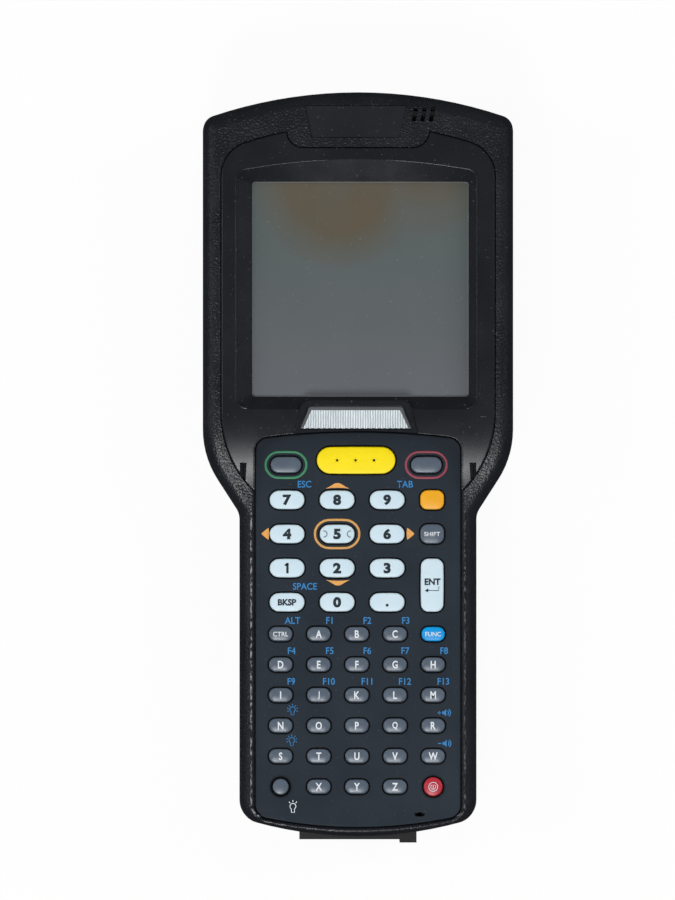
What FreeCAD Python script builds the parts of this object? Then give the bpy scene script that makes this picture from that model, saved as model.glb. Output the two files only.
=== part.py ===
import FreeCAD, Part
import math
import os
import Sketcher

# A hand-held barcode data terminal lying on its back, face up, head toward +Y.
# Millimetres.  Z is 0 on the table, X and Y are 0 at the middle of the whole outline.

document = FreeCAD.newDocument("data_terminal")
sheet = document.addObject("Spreadsheet::Sheet", "Sizes")
bodies = []


class Size:
    """A length that remembers its formula, so that a feature can be bound to it."""

    def __init__(self, value, text):
        self.value = value
        self.text = text

    def joined(self, other, sign, value):
        return Size(value, "(" + self.text + " " + sign + " " + size_of(other).text + ")")

    def __add__(self, other):
        return self.joined(other, "+", self.value + size_of(other).value)

    def __sub__(self, other):
        return self.joined(other, "-", self.value - size_of(other).value)

    def __rsub__(self, other):
        return size_of(other) - self

    def __mul__(self, other):
        return self.joined(other, "*", self.value * size_of(other).value)

    def __truediv__(self, other):
        return self.joined(other, "/", self.value / size_of(other).value)

    def __neg__(self):
        return Size(-self.value, "(0 - " + self.text + ")")

    def root(self):
        return Size(math.sqrt(self.value), "sqrt" + self.text)


def size_of(number):
    if isinstance(number, Size):
        return number
    if number < 0:
        return Size(float(number), "(0 - " + repr(abs(float(number))) + ")")
    return Size(float(number), repr(float(number)))


rows_used = []


def named(alias, value, note):
    """Write one size into the sheet and hand back the length bound to it."""
    rows_used.append(alias)
    row = str(len(rows_used))
    sheet.set("A" + row, note)
    sheet.set("B" + row, str(value))
    sheet.setAlias("B" + row, alias)
    return Size(float(value), "Sizes." + alias)


# Overall outline, seen from the front
half_length = named("half_length", 97.15, "half of the overall length")
head_half = named("head_half", 40.2, "half width of the head")
top_radius = named("top_radius", 118, "radius of the arched top end")
top_corner = named("top_corner", 4, "rounding of the two top corners")
shoulder_start = named("shoulder_start", 10, "where the head side begins to curve inward")
shoulder_radius = named("shoulder_radius", 24, "radius of the head's lower corners")
shoulder_drop = named("shoulder_drop", 13, "length of that curve along the body")
grip_half = named("grip_half", 30.7, "half width of the grip")
neck_round = named("neck_round", 5, "rounding where the head meets the grip")
lip_y = named("lip_y", 95.3, "distance of the bottom lip from the middle")
lip_radius = named("lip_radius", 100, "radius of the arched bottom lip")
lip_corner = named("lip_corner", 6, "rounding of the two bottom corners")

# Heights above the table
crown_z = named("crown_z", 37.3, "top of the raised frame round the light bar")
head_z = named("head_z", 36.9, "front face of the head")
grip_z = named("grip_z", 33.5, "front face of the grip rails")
ramp_half = named("ramp_half", 14, "half length of the ramp between the two faces")
split_z = named("split_z", 20, "joint between front and rear housing")
deck_z = named("deck_z", 31.8, "deck that carries the display bezel")
panel_seat_z = named("panel_seat_z", 31.1, "ledge that carries the keypad panel")
deck_under_z = named("deck_under_z", 29, "underside of the deck")
wall = named("wall", 2.2, "housing wall")
front_inset = named("front_inset", 0.3, "front housing stands back from the rear one")
edge_round = named("edge_round", 3.4, "rounding of the front edge")
rear_round = named("rear_round", 4, "rounding of the rear edge")
fit_gap = named("fit_gap", 0.15, "gap round inset pieces")
seat_gap = named("seat_gap", 0.1, "gap between a piece and its seat")

# Display bezel
bezel_half = named("bezel_half", 35.3, "half width of the bezel")
bezel_top_y = named("bezel_top_y", 88.4, "top of the bezel's arch")
bezel_top_radius = named("bezel_top_radius", 95, "radius of that arch")
bezel_corner = named("bezel_corner", 9, "rounding of the bezel's top corners")
bezel_low_y = named("bezel_low_y", 14, "where the bezel's side curves to its point")
bezel_low_radius = named("bezel_low_radius", 28, "radius of that curve")
notch_half = named("notch_half", 14, "half width of the flat of the top notch")
notch_y = named("notch_y", 82.5, "bottom of the top notch")
notch_radius = named("notch_radius", 4.4, "radius of the notch corners")
point_flat = named("point_flat", 0.4, "width left at the bezel's points")
bezel_edge = named("bezel_edge", 0.5, "rounding of the bezel's edges")
rim_edge = named("rim_edge", 0.7, "rounding of the housing's rim round the keypad")
crease_high = named("crease_high", 14, "upper end of the bezel's creases")
crease_low = named("crease_low", 3.2, "lower end of the creases, below the middle")
crease_high_x = named("crease_high_x", 29.2, "upper end of the creases from the middle")
crease_low_x = named("crease_low_x", 29.7, "lower end of the creases from the middle")
crease_wide = named("crease_wide", 0.6, "half width of a crease at its lower end")
crease_deep = named("crease_deep", 0.7, "depth of a crease at its lower end")
recess_left = named("recess_left", 31.7, "outer edge of the display recess, left")
recess_right = named("recess_right", 31.0, "outer edge of the display recess, right")
recess_low = named("recess_low", 15.1, "outer edge of the display recess, bottom")
recess_high = named("recess_high", 77.4, "outer edge of the display recess, top corners")
recess_rise = named("recess_rise", 2.5, "rise of the recess arch at the middle")
recess_round = named("recess_round", 3, "corner rounding of the recess")
screen_left = named("screen_left", 27.3, "visible screen, left edge")
screen_right = named("screen_right", 28.5, "visible screen, right edge")
screen_low = named("screen_low", 18.4, "visible screen, bottom edge")
screen_high = named("screen_high", 73.8, "visible screen, top edge")
screen_round = named("screen_round", 0.8, "corner rounding of the screen window")
lip_z = named("lip_z", 33.4, "underside of the bezel's inner lip")
lip_thick = named("lip_thick", 0.5, "thickness of that lip")
glass_margin = named("glass_margin", 2.9, "touch panel beyond the visible screen")
glass_thick = named("glass_thick", 1.1, "touch panel thickness")
lcd_margin = named("lcd_margin", 2.2, "display module beyond the visible screen")
lcd_thick = named("lcd_thick", 3.1, "display module thickness")

# Light bar and its frame, badge plate, speaker slots
bar_centre = named("bar_centre", 0.6, "how far the light bar and badge sit left of the middle")
bar_low_half = named("bar_low_half", 14.4, "half width of the light bar, bottom")
bar_high_half = named("bar_high_half", 12.2, "half width of the light bar, top")
bar_low = named("bar_low", 10.1, "bottom edge of the light bar")
bar_high = named("bar_high", 15.8, "top edge of the light bar")
bar_frame = named("bar_frame", 1.7, "width of the frame round the light bar")
bar_depth = named("bar_depth", 2.6, "thickness of the light bar")
bar_round = named("bar_round", 0.9, "rounding of the light bar's upper corners")
bar_edge = named("bar_edge", 0.3, "rounding of the light bar and its frame along the front")
badge_low_half = named("badge_low_half", 11.2, "half width of the badge plate, bottom")
badge_high_half = named("badge_high_half", 13, "half width of the badge plate, top")
badge_low = named("badge_low", 85.2, "bottom edge of the badge plate")
badge_high = named("badge_high", 93.2, "top edge of the badge plate")
badge_thick = named("badge_thick", 0.8, "badge plate thickness")
slot_first_x = named("slot_first_x", 14.7, "first speaker slot")
slot_pitch = named("slot_pitch", 2.2, "spacing of the speaker slots")
slot_width = named("slot_width", 1.1, "speaker slot width")
slot_low = named("slot_low", 89.2, "lower end of the speaker slots")
slot_high = named("slot_high", 93.2, "upper end of the speaker slots")
slot_lean = named("slot_lean", 0.4, "lean of the speaker slots")

# Keypad panel and keys
panel_half = named("panel_half", 26.5, "half width of the keypad panel")
panel_high = named("panel_high", 9.3, "top edge of the panel at the middle")
panel_high_radius = named("panel_high_radius", 190, "radius of the panel's top edge")
panel_low = named("panel_low", 92.6, "bottom edge of the panel at the middle")
panel_low_radius = named("panel_low_radius", 118, "radius of the panel's bottom edge")
panel_corner = named("panel_corner", 3.4, "corner rounding of the panel")
panel_thick = named("panel_thick", 1.6, "panel thickness")
open_half = named("open_half", 24.6, "half width of the opening under the panel")
open_high = named("open_high", 7.0, "top of that opening")
open_low = named("open_low", 87.2, "bottom of that opening")
key_gap = named("key_gap", 0.25, "gap between a key and its hole")
key_rise = named("key_rise", 0.9, "height of the keys above the panel")
key_round = named("key_round", 0.5, "rounding of the key tops")
flange = named("flange", 0.75, "width of the flange that keeps a key in")
flange_thick = named("flange_thick", 1, "thickness of that flange")
travel = named("travel", 0.8, "key travel")
web_half = named("web_half", 1, "half width of the bar that joins a letter row")
number_wide = named("number_wide", 8.9, "number key width")
number_high = named("number_high", 4.8, "number key height")
square_wide = named("square_wide", 6.1, "shift key width")
square_high = named("square_high", 5.0, "shift key height")
square_round = named("square_round", 1.8, "corner rounding of the squarer keys")
enter_wide = named("enter_wide", 5.9, "enter key width")
enter_high = named("enter_high", 13.7, "enter key height")
soft_wide = named("soft_wide", 7.9, "green and red key width")
soft_high = named("soft_high", 4.2, "green and red key height")
scan_wide = named("scan_wide", 20.2, "scan key width")
scan_high = named("scan_high", 7.0, "scan key height")
letter_wide = named("letter_wide", 6.0, "letter key width")
letter_high = named("letter_high", 3.7, "letter key height")
light_radius = named("light_radius", 2.05, "backlight key radius")
power_radius = named("power_radius", 2.45, "power key radius")
number_x = named("number_x", 5.4, "middle number column, left of the middle")
number_pitch_x = named("number_pitch_x", 12.9, "number column spacing")
side_x = named("side_x", 19.1, "right column")
number_y = named("number_y", 8.2, "first number row, below the middle")
number_pitch_y = named("number_pitch_y", 8.8, "number row spacing")
letter_x = named("letter_x", 0.3, "middle letter column, left of the middle")
letter_pitch_x = named("letter_pitch_x", 9.83, "letter column spacing")
letter_y = named("letter_y", 42.8, "first letter row, below the middle")
letter_pitch_y = named("letter_pitch_y", 7.87, "letter row spacing")
scan_x = named("scan_x", 0.5, "scan key, left of the middle")
scan_y = named("scan_y", 2.0, "scan key, above the middle")
soft_x = named("soft_x", 18.1, "green and red keys from the scan key's middle")
soft_y = named("soft_y", 0.8, "green and red keys, above the middle")
mic_x = named("mic_x", 15.9, "microphone slot")
mic_y = named("mic_y", 89.3, "microphone slot, below the middle")
mic_half = named("mic_half", 1.3, "half length of the microphone slot")
mic_high = named("mic_high", 1.1, "height of the microphone slot")

# Keypad inside
mat_thick = named("mat_thick", 1, "rubber mat thickness")
mat_half = named("mat_half", 27.3, "half width of the mat")
pad_radius = named("pad_radius", 1.5, "radius of the mat's plungers")
rest_gap = named("rest_gap", 0.05, "gap left under a fully pressed key")
dome_radius = named("dome_radius", 1.9, "snap dome radius")
dome_thick = named("dome_thick", 0.3, "snap dome height")
board_thick = named("board_thick", 1.2, "circuit board thickness")
board_half = named("board_half", 27.6, "half width of the keypad board")
keypad_screw_x = named("keypad_screw_x", 26.1, "keypad screws from the middle")
keypad_screw_high = named("keypad_screw_high", 4, "upper keypad screws, below the middle")
keypad_screw_mid = named("keypad_screw_mid", 41, "middle keypad screws, below the middle")
keypad_screw_low = named("keypad_screw_low", 78, "lower keypad screws, below the middle")
keypad_screw_radius = named("keypad_screw_radius", 0.8, "keypad screw shank")
keypad_screw_head = named("keypad_screw_head", 1.4, "keypad screw head radius")
keypad_screw_length = named("keypad_screw_length", 3.8, "keypad screw shank length")

plate_top = named("plate_top", 8.3, "top edge of mat and keypad board")
plate_low = named("plate_low", 82, "where mat and board begin to taper, below the middle")
mat_toe = named("mat_toe", 87.4, "bottom edge of the mat, below the middle")
mat_toe_half = named("mat_toe_half", 22, "half width of the mat's bottom edge")
board_toe = named("board_toe", 90.6, "bottom edge of the keypad board, below the middle")
board_toe_half = named("board_toe_half", 19, "half width of the board's bottom edge")
sound_hole = named("sound_hole", 0.6, "radius of the microphone hole")
mic_wide = named("mic_wide", 3.4, "microphone capsule width")
mic_tall = named("mic_tall", 2.2, "microphone capsule height")

# Head inside
chassis_half = named("chassis_half", 30, "half width of the chassis")
chassis_low = named("chassis_low", 13, "lower edge of the chassis")
chassis_high = named("chassis_high", 82, "upper edge of the chassis")
chassis_thick = named("chassis_thick", 1.2, "chassis plate")
post_x = named("post_x", 26.5, "chassis posts from the middle")
post_radius = named("post_radius", 2.3, "chassis post radius")
main_half = named("main_half", 29, "half width of the main board")
main_z = named("main_z", 20.8, "underside of the main board")
engine_half = named("engine_half", 11, "half width of the scan engine")
engine_low = named("engine_low", 79, "rear of the scan engine")
engine_high = named("engine_high", 91, "front of the scan engine")
engine_tall = named("engine_tall", 10, "height of the scan engine")
loft_z = named("loft_z", 34.6, "ceiling of the pocket behind the badge")
loft_half = named("loft_half", 27, "half width of that pocket")
loft_low = named("loft_low", 86.2, "lower edge of that pocket")
loft_high = named("loft_high", 92.3, "upper edge of that pocket")
can_low = named("can_low", 26, "lower edge of the shield cans")
can_left = named("can_left", 20, "left edge of the left shield can")
can_right = named("can_right", 21, "right edge of the right shield can")
can_split = named("can_split", 4, "space between the shield cans")
can_long = named("can_long", 26, "length of the left shield can")
can_short = named("can_short", 20, "length of the right shield can")
can_tall = named("can_tall", 2.2, "height of the shield cans")
socket_x = named("socket_x", 10.5, "card socket, left of the middle")
socket_y = named("socket_y", 65.5, "card socket, above the middle")
socket_side = named("socket_side", 15, "card socket side")
socket_tall = named("socket_tall", 1.7, "card socket height")
cell_x = named("cell_x", 13, "backup cell from the middle")
cell_y = named("cell_y", 34, "backup cell, above the middle")
cell_radius = named("cell_radius", 6, "backup cell radius")
cell_tall = named("cell_tall", 3, "backup cell height")
speaker_wide = named("speaker_wide", 13, "speaker width")
speaker_long = named("speaker_long", 5.4, "speaker length")
speaker_tall = named("speaker_tall", 3, "speaker height")
antenna_left = named("antenna_left", 25, "left end of the antenna")
antenna_right = named("antenna_right", 4, "right end of the antenna, left of the middle")
antenna_tall = named("antenna_tall", 0.8, "antenna thickness")

# Rear housing, window, battery
nose_start = named("nose_start", 70, "where the back curves up to the top end")
nose_z = named("nose_z", 5, "height of the back at the top end")
tail_start = named("tail_start", 80, "where the back curves up to the bottom lip")
tail_z = named("tail_z", 5, "height of the back at the bottom lip")
cave_half = named("cave_half", 36, "half width of the head's hollow")
cave_low = named("cave_low", 3, "lower end of the head's hollow")
cave_high = named("cave_high", 85, "upper end of the head's hollow")
cave_floor = named("cave_floor", 2.6, "floor of the head's hollow")
groove_y = named("groove_y", 9, "middle of the finger groove")
groove_half = named("groove_half", 10, "half length of the finger groove")
groove_deep = named("groove_deep", 4.2, "depth of the finger groove")
view_half = named("view_half", 19, "half width of the scan window")
view_low = named("view_low", 9.6, "lower edge of the scan window")
view_high = named("view_high", 18.2, "upper edge of the scan window")
view_thick = named("view_thick", 1.2, "scan window thickness")
view_sink = named("view_sink", 0.5, "scan window below the outer face")
view_ledge = named("view_ledge", 1.2, "ledge behind the scan window")
well_half = named("well_half", 24, "half width of the battery well")
well_low = named("well_low", 80, "bottom end of the battery well")
well_high = named("well_high", 6, "top end of the battery well")
well_z = named("well_z", 17.3, "ceiling of the battery well")
pack_gap = named("pack_gap", 0.3, "gap round the battery")
pack_wall = named("pack_wall", 1.4, "battery case wall")
latch_half = named("latch_half", 7, "half width of the latch")
latch_long = named("latch_long", 9, "length of the latch")
latch_thick = named("latch_thick", 2.4, "latch thickness")
latch_travel = named("latch_travel", 2.6, "latch travel")
nose_half = named("nose_half", 4, "half width of the latch nose")
nose_long = named("nose_long", 1.8, "latch nose beyond the battery")
latch_floor = named("latch_floor", 3.4, "depth of the latch bed")
latch_sink = named("latch_sink", 0.3, "latch below the back")
latch_gap = named("latch_gap", 0.2, "gap round the latch")
latch_bar = named("latch_bar", 1.6, "bar of the case beyond the latch bed")
ridge_pitch = named("ridge_pitch", 1.8, "spacing of the latch ridges")
ridge_wide = named("ridge_wide", 0.8, "width of the grooves between them")
pack_round = named("pack_round", 1.5, "rounding of the battery's corners")
contact_half = named("contact_half", 9, "half width of the battery contact block")
contact_low = named("contact_low", 8, "lower edge of the contact block")
contact_high = named("contact_high", 14.5, "upper edge of the contact block")
contact_deep = named("contact_deep", 3.2, "depth of the contact block")

# Bottom end
plug_half = named("plug_half", 15.2, "half width of the connector")
plug_low = named("plug_low", 9.2, "lower edge of the connector")
plug_high = named("plug_high", 17.6, "upper edge of the connector")
plug_deep = named("plug_deep", 11, "length of the connector")
plug_wall = named("plug_wall", 1.3, "connector wall")
plug_hollow = named("plug_hollow", 6, "depth of the connector's mouth")
lug_long = named("lug_long", 0.85, "right lug beyond the connector")
lug_wide = named("lug_wide", 4.4, "lug width")
pin_count = 8
strap_y = named("strap_y", 88.6, "strap pin from the middle")
strap_z = named("strap_z", 5.4, "strap pin height")
strap_radius = named("strap_radius", 1.1, "strap pin radius")
strap_half = named("strap_half", 8, "half width of the strap slot")
strap_open = named("strap_open", 2.6, "half length of the strap slot")
strap_hold = named("strap_hold", 2.2, "length of each end of the pin in the housing")

# Housing screws
screw_radius = named("screw_radius", 1.3, "housing screw shank")
screw_head = named("screw_head", 2.3, "housing screw head radius")
screw_head_thick = named("screw_head_thick", 1.8, "housing screw head")
screw_seat = named("screw_seat", 10, "height of the screw seat")
screw_length = named("screw_length", 15, "housing screw shank length")
head_screw_x = named("head_screw_x", 33.6, "head screws from the middle")
grip_screw_x = named("grip_screw_x", 27.3, "grip screws from the middle")
head_screw_low = named("head_screw_low", 18, "lower head screws, above the middle")
head_screw_high = named("head_screw_high", 76, "upper head screws, above the middle")
grip_screw_high = named("grip_screw_high", 18, "upper grip screws, below the middle")
grip_screw_low = named("grip_screw_low", 72, "lower grip screws, below the middle")
boss_radius = named("boss_radius", 2.7, "radius of the screw bosses")
seal_inset = named("seal_inset", 0.75, "seal groove from the outer edge")
seal_wide = named("seal_wide", 0.8, "width of the seal")
seal_deep = named("seal_deep", 0.8, "depth of the seal")
bore_gap = named("bore_gap", 0.05, "gap round a screw or pin in its bore")
hole_gap = named("hole_gap", 0.1, "gap round a screw in a loose hole")

panel_z = panel_seat_z + panel_thick
key_top_z = panel_z + key_rise
flange_top_z = panel_seat_z - fit_gap
flange_low_z = flange_top_z - flange_thick
pad_top_z = flange_low_z - travel - rest_gap
mat_top_z = deck_under_z - seat_gap
mat_low_z = mat_top_z - mat_thick
keyboard_top_z = mat_low_z - seat_gap
keyboard_low_z = keyboard_top_z - board_thick
chassis_top_z = deck_under_z - seat_gap
chassis_low_z = chassis_top_z - chassis_thick
main_top_z = main_z + board_thick
glass_top_z = lip_z - seat_gap
glass_low_z = glass_top_z - glass_thick
lcd_top_z = glass_low_z - seat_gap
lcd_low_z = lcd_top_z - lcd_thick
bar_floor_z = crown_z - bar_depth - fit_gap - seat_gap
badge_floor_z = head_z - badge_thick - seat_gap
plug_y = half_length - lug_long
ceiling = 60


def new_body(label, several=False):
    body = document.addObject("PartDesign::Body", label)
    body.Label = label
    body.AllowCompound = several
    bodies.append(body)
    return body


def plane_of(body, role):
    return [item for item in body.Origin.OriginFeatures if item.Role == role][0]


def middle_of_arc(start, end, radius, turn):
    """The point half way along an arc; turn is 1 when it bends to the left."""
    chord = end - start
    half = chord.Length / 2
    rise = radius - math.sqrt(max(radius * radius - half * half, 0))
    side = FreeCAD.Vector(chord.y, -chord.x, 0).normalize()
    return (start + end) * 0.5 + side * (rise * turn)


def pin_point(sketch, geometry, end, x, y):
    """Bind one point to its two distances from the sketch's own origin."""
    for kind, place, axis in (("DistanceX", x, -2), ("DistanceY", y, -1)):
        if abs(place.value) < 1e-9:
            sketch.addConstraint(Sketcher.Constraint("PointOnObject", geometry, end, axis))
            continue
        rule = Sketcher.Constraint(kind, -1, 1, geometry, end, place.value)
        number = sketch.addConstraint(rule)
        sketch.setExpression("Constraints[%d]" % number, place.text)


def add_circle(sketch, x, y, radius):
    centre = FreeCAD.Vector(x.value, y.value, 0)
    up = FreeCAD.Vector(0, 0, 1)
    circle = sketch.addGeometry(Part.Circle(centre, up, radius.value), False)
    pin_point(sketch, circle, 3, x, y)
    number = sketch.addConstraint(Sketcher.Constraint("Radius", circle, radius.value))
    sketch.setExpression("Constraints[%d]" % number, radius.text)


def add_loop(sketch, path):
    """Draw a closed path of (x, y) corners and (x, y, radius, turn) arc ends."""
    corners = [(size_of(step[0]), size_of(step[1])) for step in path]
    points = [FreeCAD.Vector(x.value, y.value, 0) for x, y in corners]
    drawn = []
    for index, step in enumerate(path):
        start, end = points[index - 1], points[index]
        if len(step) == 4:
            middle = middle_of_arc(start, end, size_of(step[2]).value, step[3])
            piece = Part.Arc(start, middle, end)
        else:
            piece = Part.LineSegment(start, end)
        number = sketch.addGeometry(piece, False)
        first = 1 if sketch.getPoint(number, 1).distanceToPoint(start) < 1e-6 else 2
        drawn.append((number, first))
    for index, (number, first) in enumerate(drawn):
        before, before_first = drawn[index - 1]
        joint = Sketcher.Constraint("Coincident", before, 3 - before_first, number, first)
        sketch.addConstraint(joint)
    for index, (number, first) in enumerate(drawn):
        x, y = corners[index]
        pin_point(sketch, number, 3 - first, x, y)
        if len(path[index]) == 4:
            radius = size_of(path[index][2])
            rule = sketch.addConstraint(Sketcher.Constraint("Radius", number, radius.value))
            sketch.setExpression("Constraints[%d]" % rule, radius.text)


def draw(body, plane, height, *shapes):
    """A sketch on one of the body's own planes, moved along its normal."""
    sketch = body.newObject("Sketcher::SketchObject", body.Name + "_outline")
    sketch.AttachmentSupport = [(plane_of(body, plane), "")]
    sketch.MapMode = "FlatFace"
    sketch.setExpression("AttachmentOffset.Base.z", size_of(height).text)
    for shape in shapes:
        if len(shape) == 3 and not isinstance(shape[0], tuple):
            add_circle(sketch, size_of(shape[0]), size_of(shape[1]), size_of(shape[2]))
        else:
            add_loop(sketch, shape)
    return sketch


def grow(body, plane, height, length, *shapes, back=False, even=False):
    """Add material from a sketch; back turns the direction, even spreads both ways."""
    sketch = draw(body, plane, height, *shapes)
    feature = body.newObject("PartDesign::Pad", body.Name + "_pad")
    feature.Profile = sketch
    finish(feature, length, back, even)
    return feature


def carve(body, plane, height, length, *shapes, back=False, even=False):
    """Remove material; it goes against the plane's normal unless back is set."""
    sketch = draw(body, plane, height, *shapes)
    feature = body.newObject("PartDesign::Pocket", body.Name + "_pocket")
    feature.Profile = sketch
    finish(feature, length, back, even)
    return feature


def finish(feature, length, back, even):
    feature.Type = "Length"
    feature.Refine = False
    if even:
        feature.SideType = "Symmetric"
    feature.Reversed = back
    feature.setExpression("Length", size_of(length).text)
    document.recompute()


def up(body, low, high, *shapes):
    """Material between two heights."""
    low, high = size_of(low), size_of(high)
    return grow(body, "XY_Plane", low, high - low, *shapes)


def out(body, low, high, *shapes):
    """A hollow between two heights."""
    low, high = size_of(low), size_of(high)
    return carve(body, "XY_Plane", high, high - low, *shapes)


def soften(body, chosen, radius, kind="PartDesign::Fillet"):
    """Round the edges of the body so far that the test picks out."""
    shape = body.Tip.Shape
    names = ["Edge%d" % (n + 1) for n, edge in enumerate(shape.Edges) if chosen(edge)]
    feature = body.newObject(kind, body.Name + "_round")
    feature.Base = (body.Tip if body.Tip != feature else feature.BaseFeature, names)
    feature.setExpression("Radius" if kind.endswith("Fillet") else "Size", size_of(radius).text)
    document.recompute()
    return feature


def is_upright(edge):
    box = edge.BoundBox
    return box.ZLength > 0.2 and box.XLength < 1e-4 and box.YLength < 1e-4


def is_seam(edge):
    """True for the lines straight across where the ramp between the faces bends."""
    box = edge.BoundBox
    near = [1 for y in (-ramp_half.value, 0, ramp_half.value) if abs(box.Center.y - y) < 1e-3]
    return box.YLength < 1e-4 and bool(near)


def mirrored(spots):
    both = []
    for x, y in spots:
        both.append((size_of(x), size_of(y)))
        both.append((-size_of(x), size_of(y)))
    return both


def rectangle(left, low, right, high):
    return [(left, low), (right, low), (right, high), (left, high)]


def block(x, y, wide, high):
    """A rectangle about its own middle."""
    x, y, wide, high = size_of(x), size_of(y), size_of(wide), size_of(high)
    return rectangle(x - wide / 2, y - high / 2, x + wide / 2, y + high / 2)


def rounded(left, low, right, high, radius):
    """A rectangle with rounded corners, drawn anticlockwise from its bottom edge."""
    left, low, right, high = [size_of(v) for v in (left, low, right, high)]
    radius = size_of(radius)
    return [(right - radius, low), (right, low + radius, radius, 1),
            (right, high - radius), (right - radius, high, radius, 1),
            (left + radius, high), (left, high - radius, radius, 1),
            (left, low + radius), (left + radius, low, radius, 1)]


def cushion(x, y, wide, high, radius):
    """A rounded rectangle about its own middle."""
    x, y, wide, high = size_of(x), size_of(y), size_of(wide), size_of(high)
    return rounded(x - wide / 2, y - high / 2, x + wide / 2, y + high / 2, radius)


def pill(x, y, wide, high):
    """Two straight sides joined by two arcs that are almost half circles."""
    x, y, wide, high = size_of(x), size_of(y), size_of(wide), size_of(high)
    bend = high * 0.505
    flat = wide / 2 - high * 0.434
    low, top = y - high / 2, y + high / 2
    return [(x + flat, low), (x + flat, top, bend, 1), (x - flat, top), (x - flat, low, bend, 1)]


def tangent_corner(side, radius, corner):
    """Where a corner touches a side and an arched end, measured from the arch's centre."""
    inner = radius - corner
    across = side - corner
    along = (inner * inner - across * across).root()
    return along, across * radius / inner, along * radius / inner


def outline(inset):
    """The terminal's outline, moved inward; anticlockwise from the bottom lip."""
    inset = size_of(inset)
    side, grip = head_half - inset, grip_half - inset
    reach = (shoulder_radius * shoulder_radius - shoulder_drop * shoulder_drop).root()
    curve = shoulder_radius - inset
    bend_x = head_half - shoulder_radius + reach * curve / shoulder_radius
    bend_y = shoulder_start - shoulder_drop * curve / shoulder_radius
    neck_y = bend_y - (bend_x - grip) * reach / shoulder_drop
    hollow = neck_round + inset
    neck_t = hollow * shoulder_drop / (shoulder_radius + reach)
    neck_x = grip + neck_t * shoulder_drop / shoulder_radius
    neck_up = neck_y + neck_t * reach / shoulder_radius
    arch, cap = top_radius - inset, top_corner - inset
    rise, top_x, top_rise = tangent_corner(side, arch, cap)
    top_centre = half_length - top_radius
    bow, toe = lip_radius - inset, lip_corner - inset
    fall, low_x, low_fall = tangent_corner(grip, bow, toe)
    low_centre = lip_radius - lip_y
    right = [(low_x, low_centre - low_fall, bow, 1), (grip, low_centre - fall, toe, 1),
             (grip, neck_y - neck_t), (neck_x, neck_up, hollow, -1), (bend_x, bend_y),
             (side, shoulder_start, curve, 1), (side, top_centre + rise),
             (top_x, top_centre + top_rise, cap, 1)]
    left = [(-top_x, top_centre + top_rise, arch, 1), (-side, top_centre + rise, cap, 1),
            (-side, shoulder_start), (-bend_x, bend_y, curve, 1), (-neck_x, neck_up),
            (-grip, neck_y - neck_t, hollow, -1), (-grip, low_centre - fall),
            (-low_x, low_centre - low_fall, toe, 1)]
    return right + left


def panel_outline(grow_by):
    """The keypad panel's outline, moved outward."""
    grow_by = size_of(grow_by)
    half, corner = panel_half + grow_by, panel_corner + grow_by
    high_r, low_r = panel_high_radius + grow_by, panel_low_radius + grow_by
    rise, high_x, high_rise = tangent_corner(half, high_r, corner)
    fall, low_x, low_fall = tangent_corner(half, low_r, corner)
    high_centre = panel_high - panel_high_radius
    low_centre = panel_low_radius - panel_low
    return [(low_x, low_centre - low_fall, low_r, 1), (half, low_centre - fall, corner, 1),
            (half, high_centre + rise), (high_x, high_centre + high_rise, corner, 1),
            (-high_x, high_centre + high_rise, high_r, 1), (-half, high_centre + rise, corner, 1),
            (-half, low_centre - fall), (-low_x, low_centre - low_fall, corner, 1)]


def bezel_outline(grow_by):
    """The bezel's outer edge with its top notch and its two lower points."""
    grow_by = size_of(grow_by)
    half, corner = bezel_half + grow_by, bezel_corner + grow_by
    top_r = bezel_top_radius + grow_by
    centre = bezel_top_y - bezel_top_radius
    rise, top_x, top_rise = tangent_corner(half, top_r, corner)
    notch_r = notch_radius - grow_by
    flank = notch_half + notch_r
    flank_y = centre + (top_r * top_r - flank * flank).root()
    tip_x = panel_half + key_gap + point_flat + grow_by
    low_r = bezel_low_radius + grow_by
    across = low_r - (half - tip_x)
    tip_y = bezel_low_y - (low_r * low_r - across * across).root()
    right = [(tip_x, tip_y), (half, bezel_low_y, low_r, 1), (half, centre + rise),
             (top_x, centre + top_rise, corner, 1), (flank, flank_y, top_r, 1),
             (notch_half, notch_y + grow_by, notch_r, -1)]
    left = [(-notch_half, notch_y + grow_by), (-flank, flank_y, notch_r, -1),
            (-top_x, centre + top_rise, top_r, 1), (-half, centre + rise, corner, 1),
            (-half, bezel_low_y), (-tip_x, tip_y, low_r, 1)]
    return right + left


def front_shape():
    """Everything above the front faces of grip and head, seen from the side."""
    rise = (head_z - grip_z) / 2
    radius = (ramp_half * ramp_half + rise * rise) / (rise * 2)
    return [(-ceiling * 2, grip_z), (-ramp_half, grip_z),
            (0, grip_z + rise, radius, 1), (ramp_half, head_z, radius, -1),
            (ramp_half, ceiling), (-ceiling * 2, ceiling)]


def back_tail():
    """Everything below the back at the bottom end, seen from the side."""
    run = lip_y - tail_start
    radius = (run * run + tail_z * tail_z) / (tail_z * 2)
    return [(-ceiling * 2, -5), (-tail_start, -5), (-tail_start, 0), (-lip_y, tail_z, radius, -1),
            (-ceiling * 2, tail_z)]


def back_nose():
    """Everything below the back at the top end, seen from the side."""
    run = half_length - nose_start
    radius = (run * run + nose_z * nose_z) / (nose_z * 2)
    return [(nose_start, -5), (ceiling * 2, -5), (ceiling * 2, nose_z), (half_length, nose_z),
            (nose_start, 0, radius, -1)]


def rim_between(low, high):
    """A test for outline edges between two heights: not upright, not a seam of the ramp."""
    low, high = size_of(low).value, size_of(high).value
    def chosen(edge):
        box = edge.BoundBox
        inside = box.ZMin > low and box.ZMax < high
        return inside and not is_seam(edge) and not is_upright(edge)
    return chosen


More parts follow.
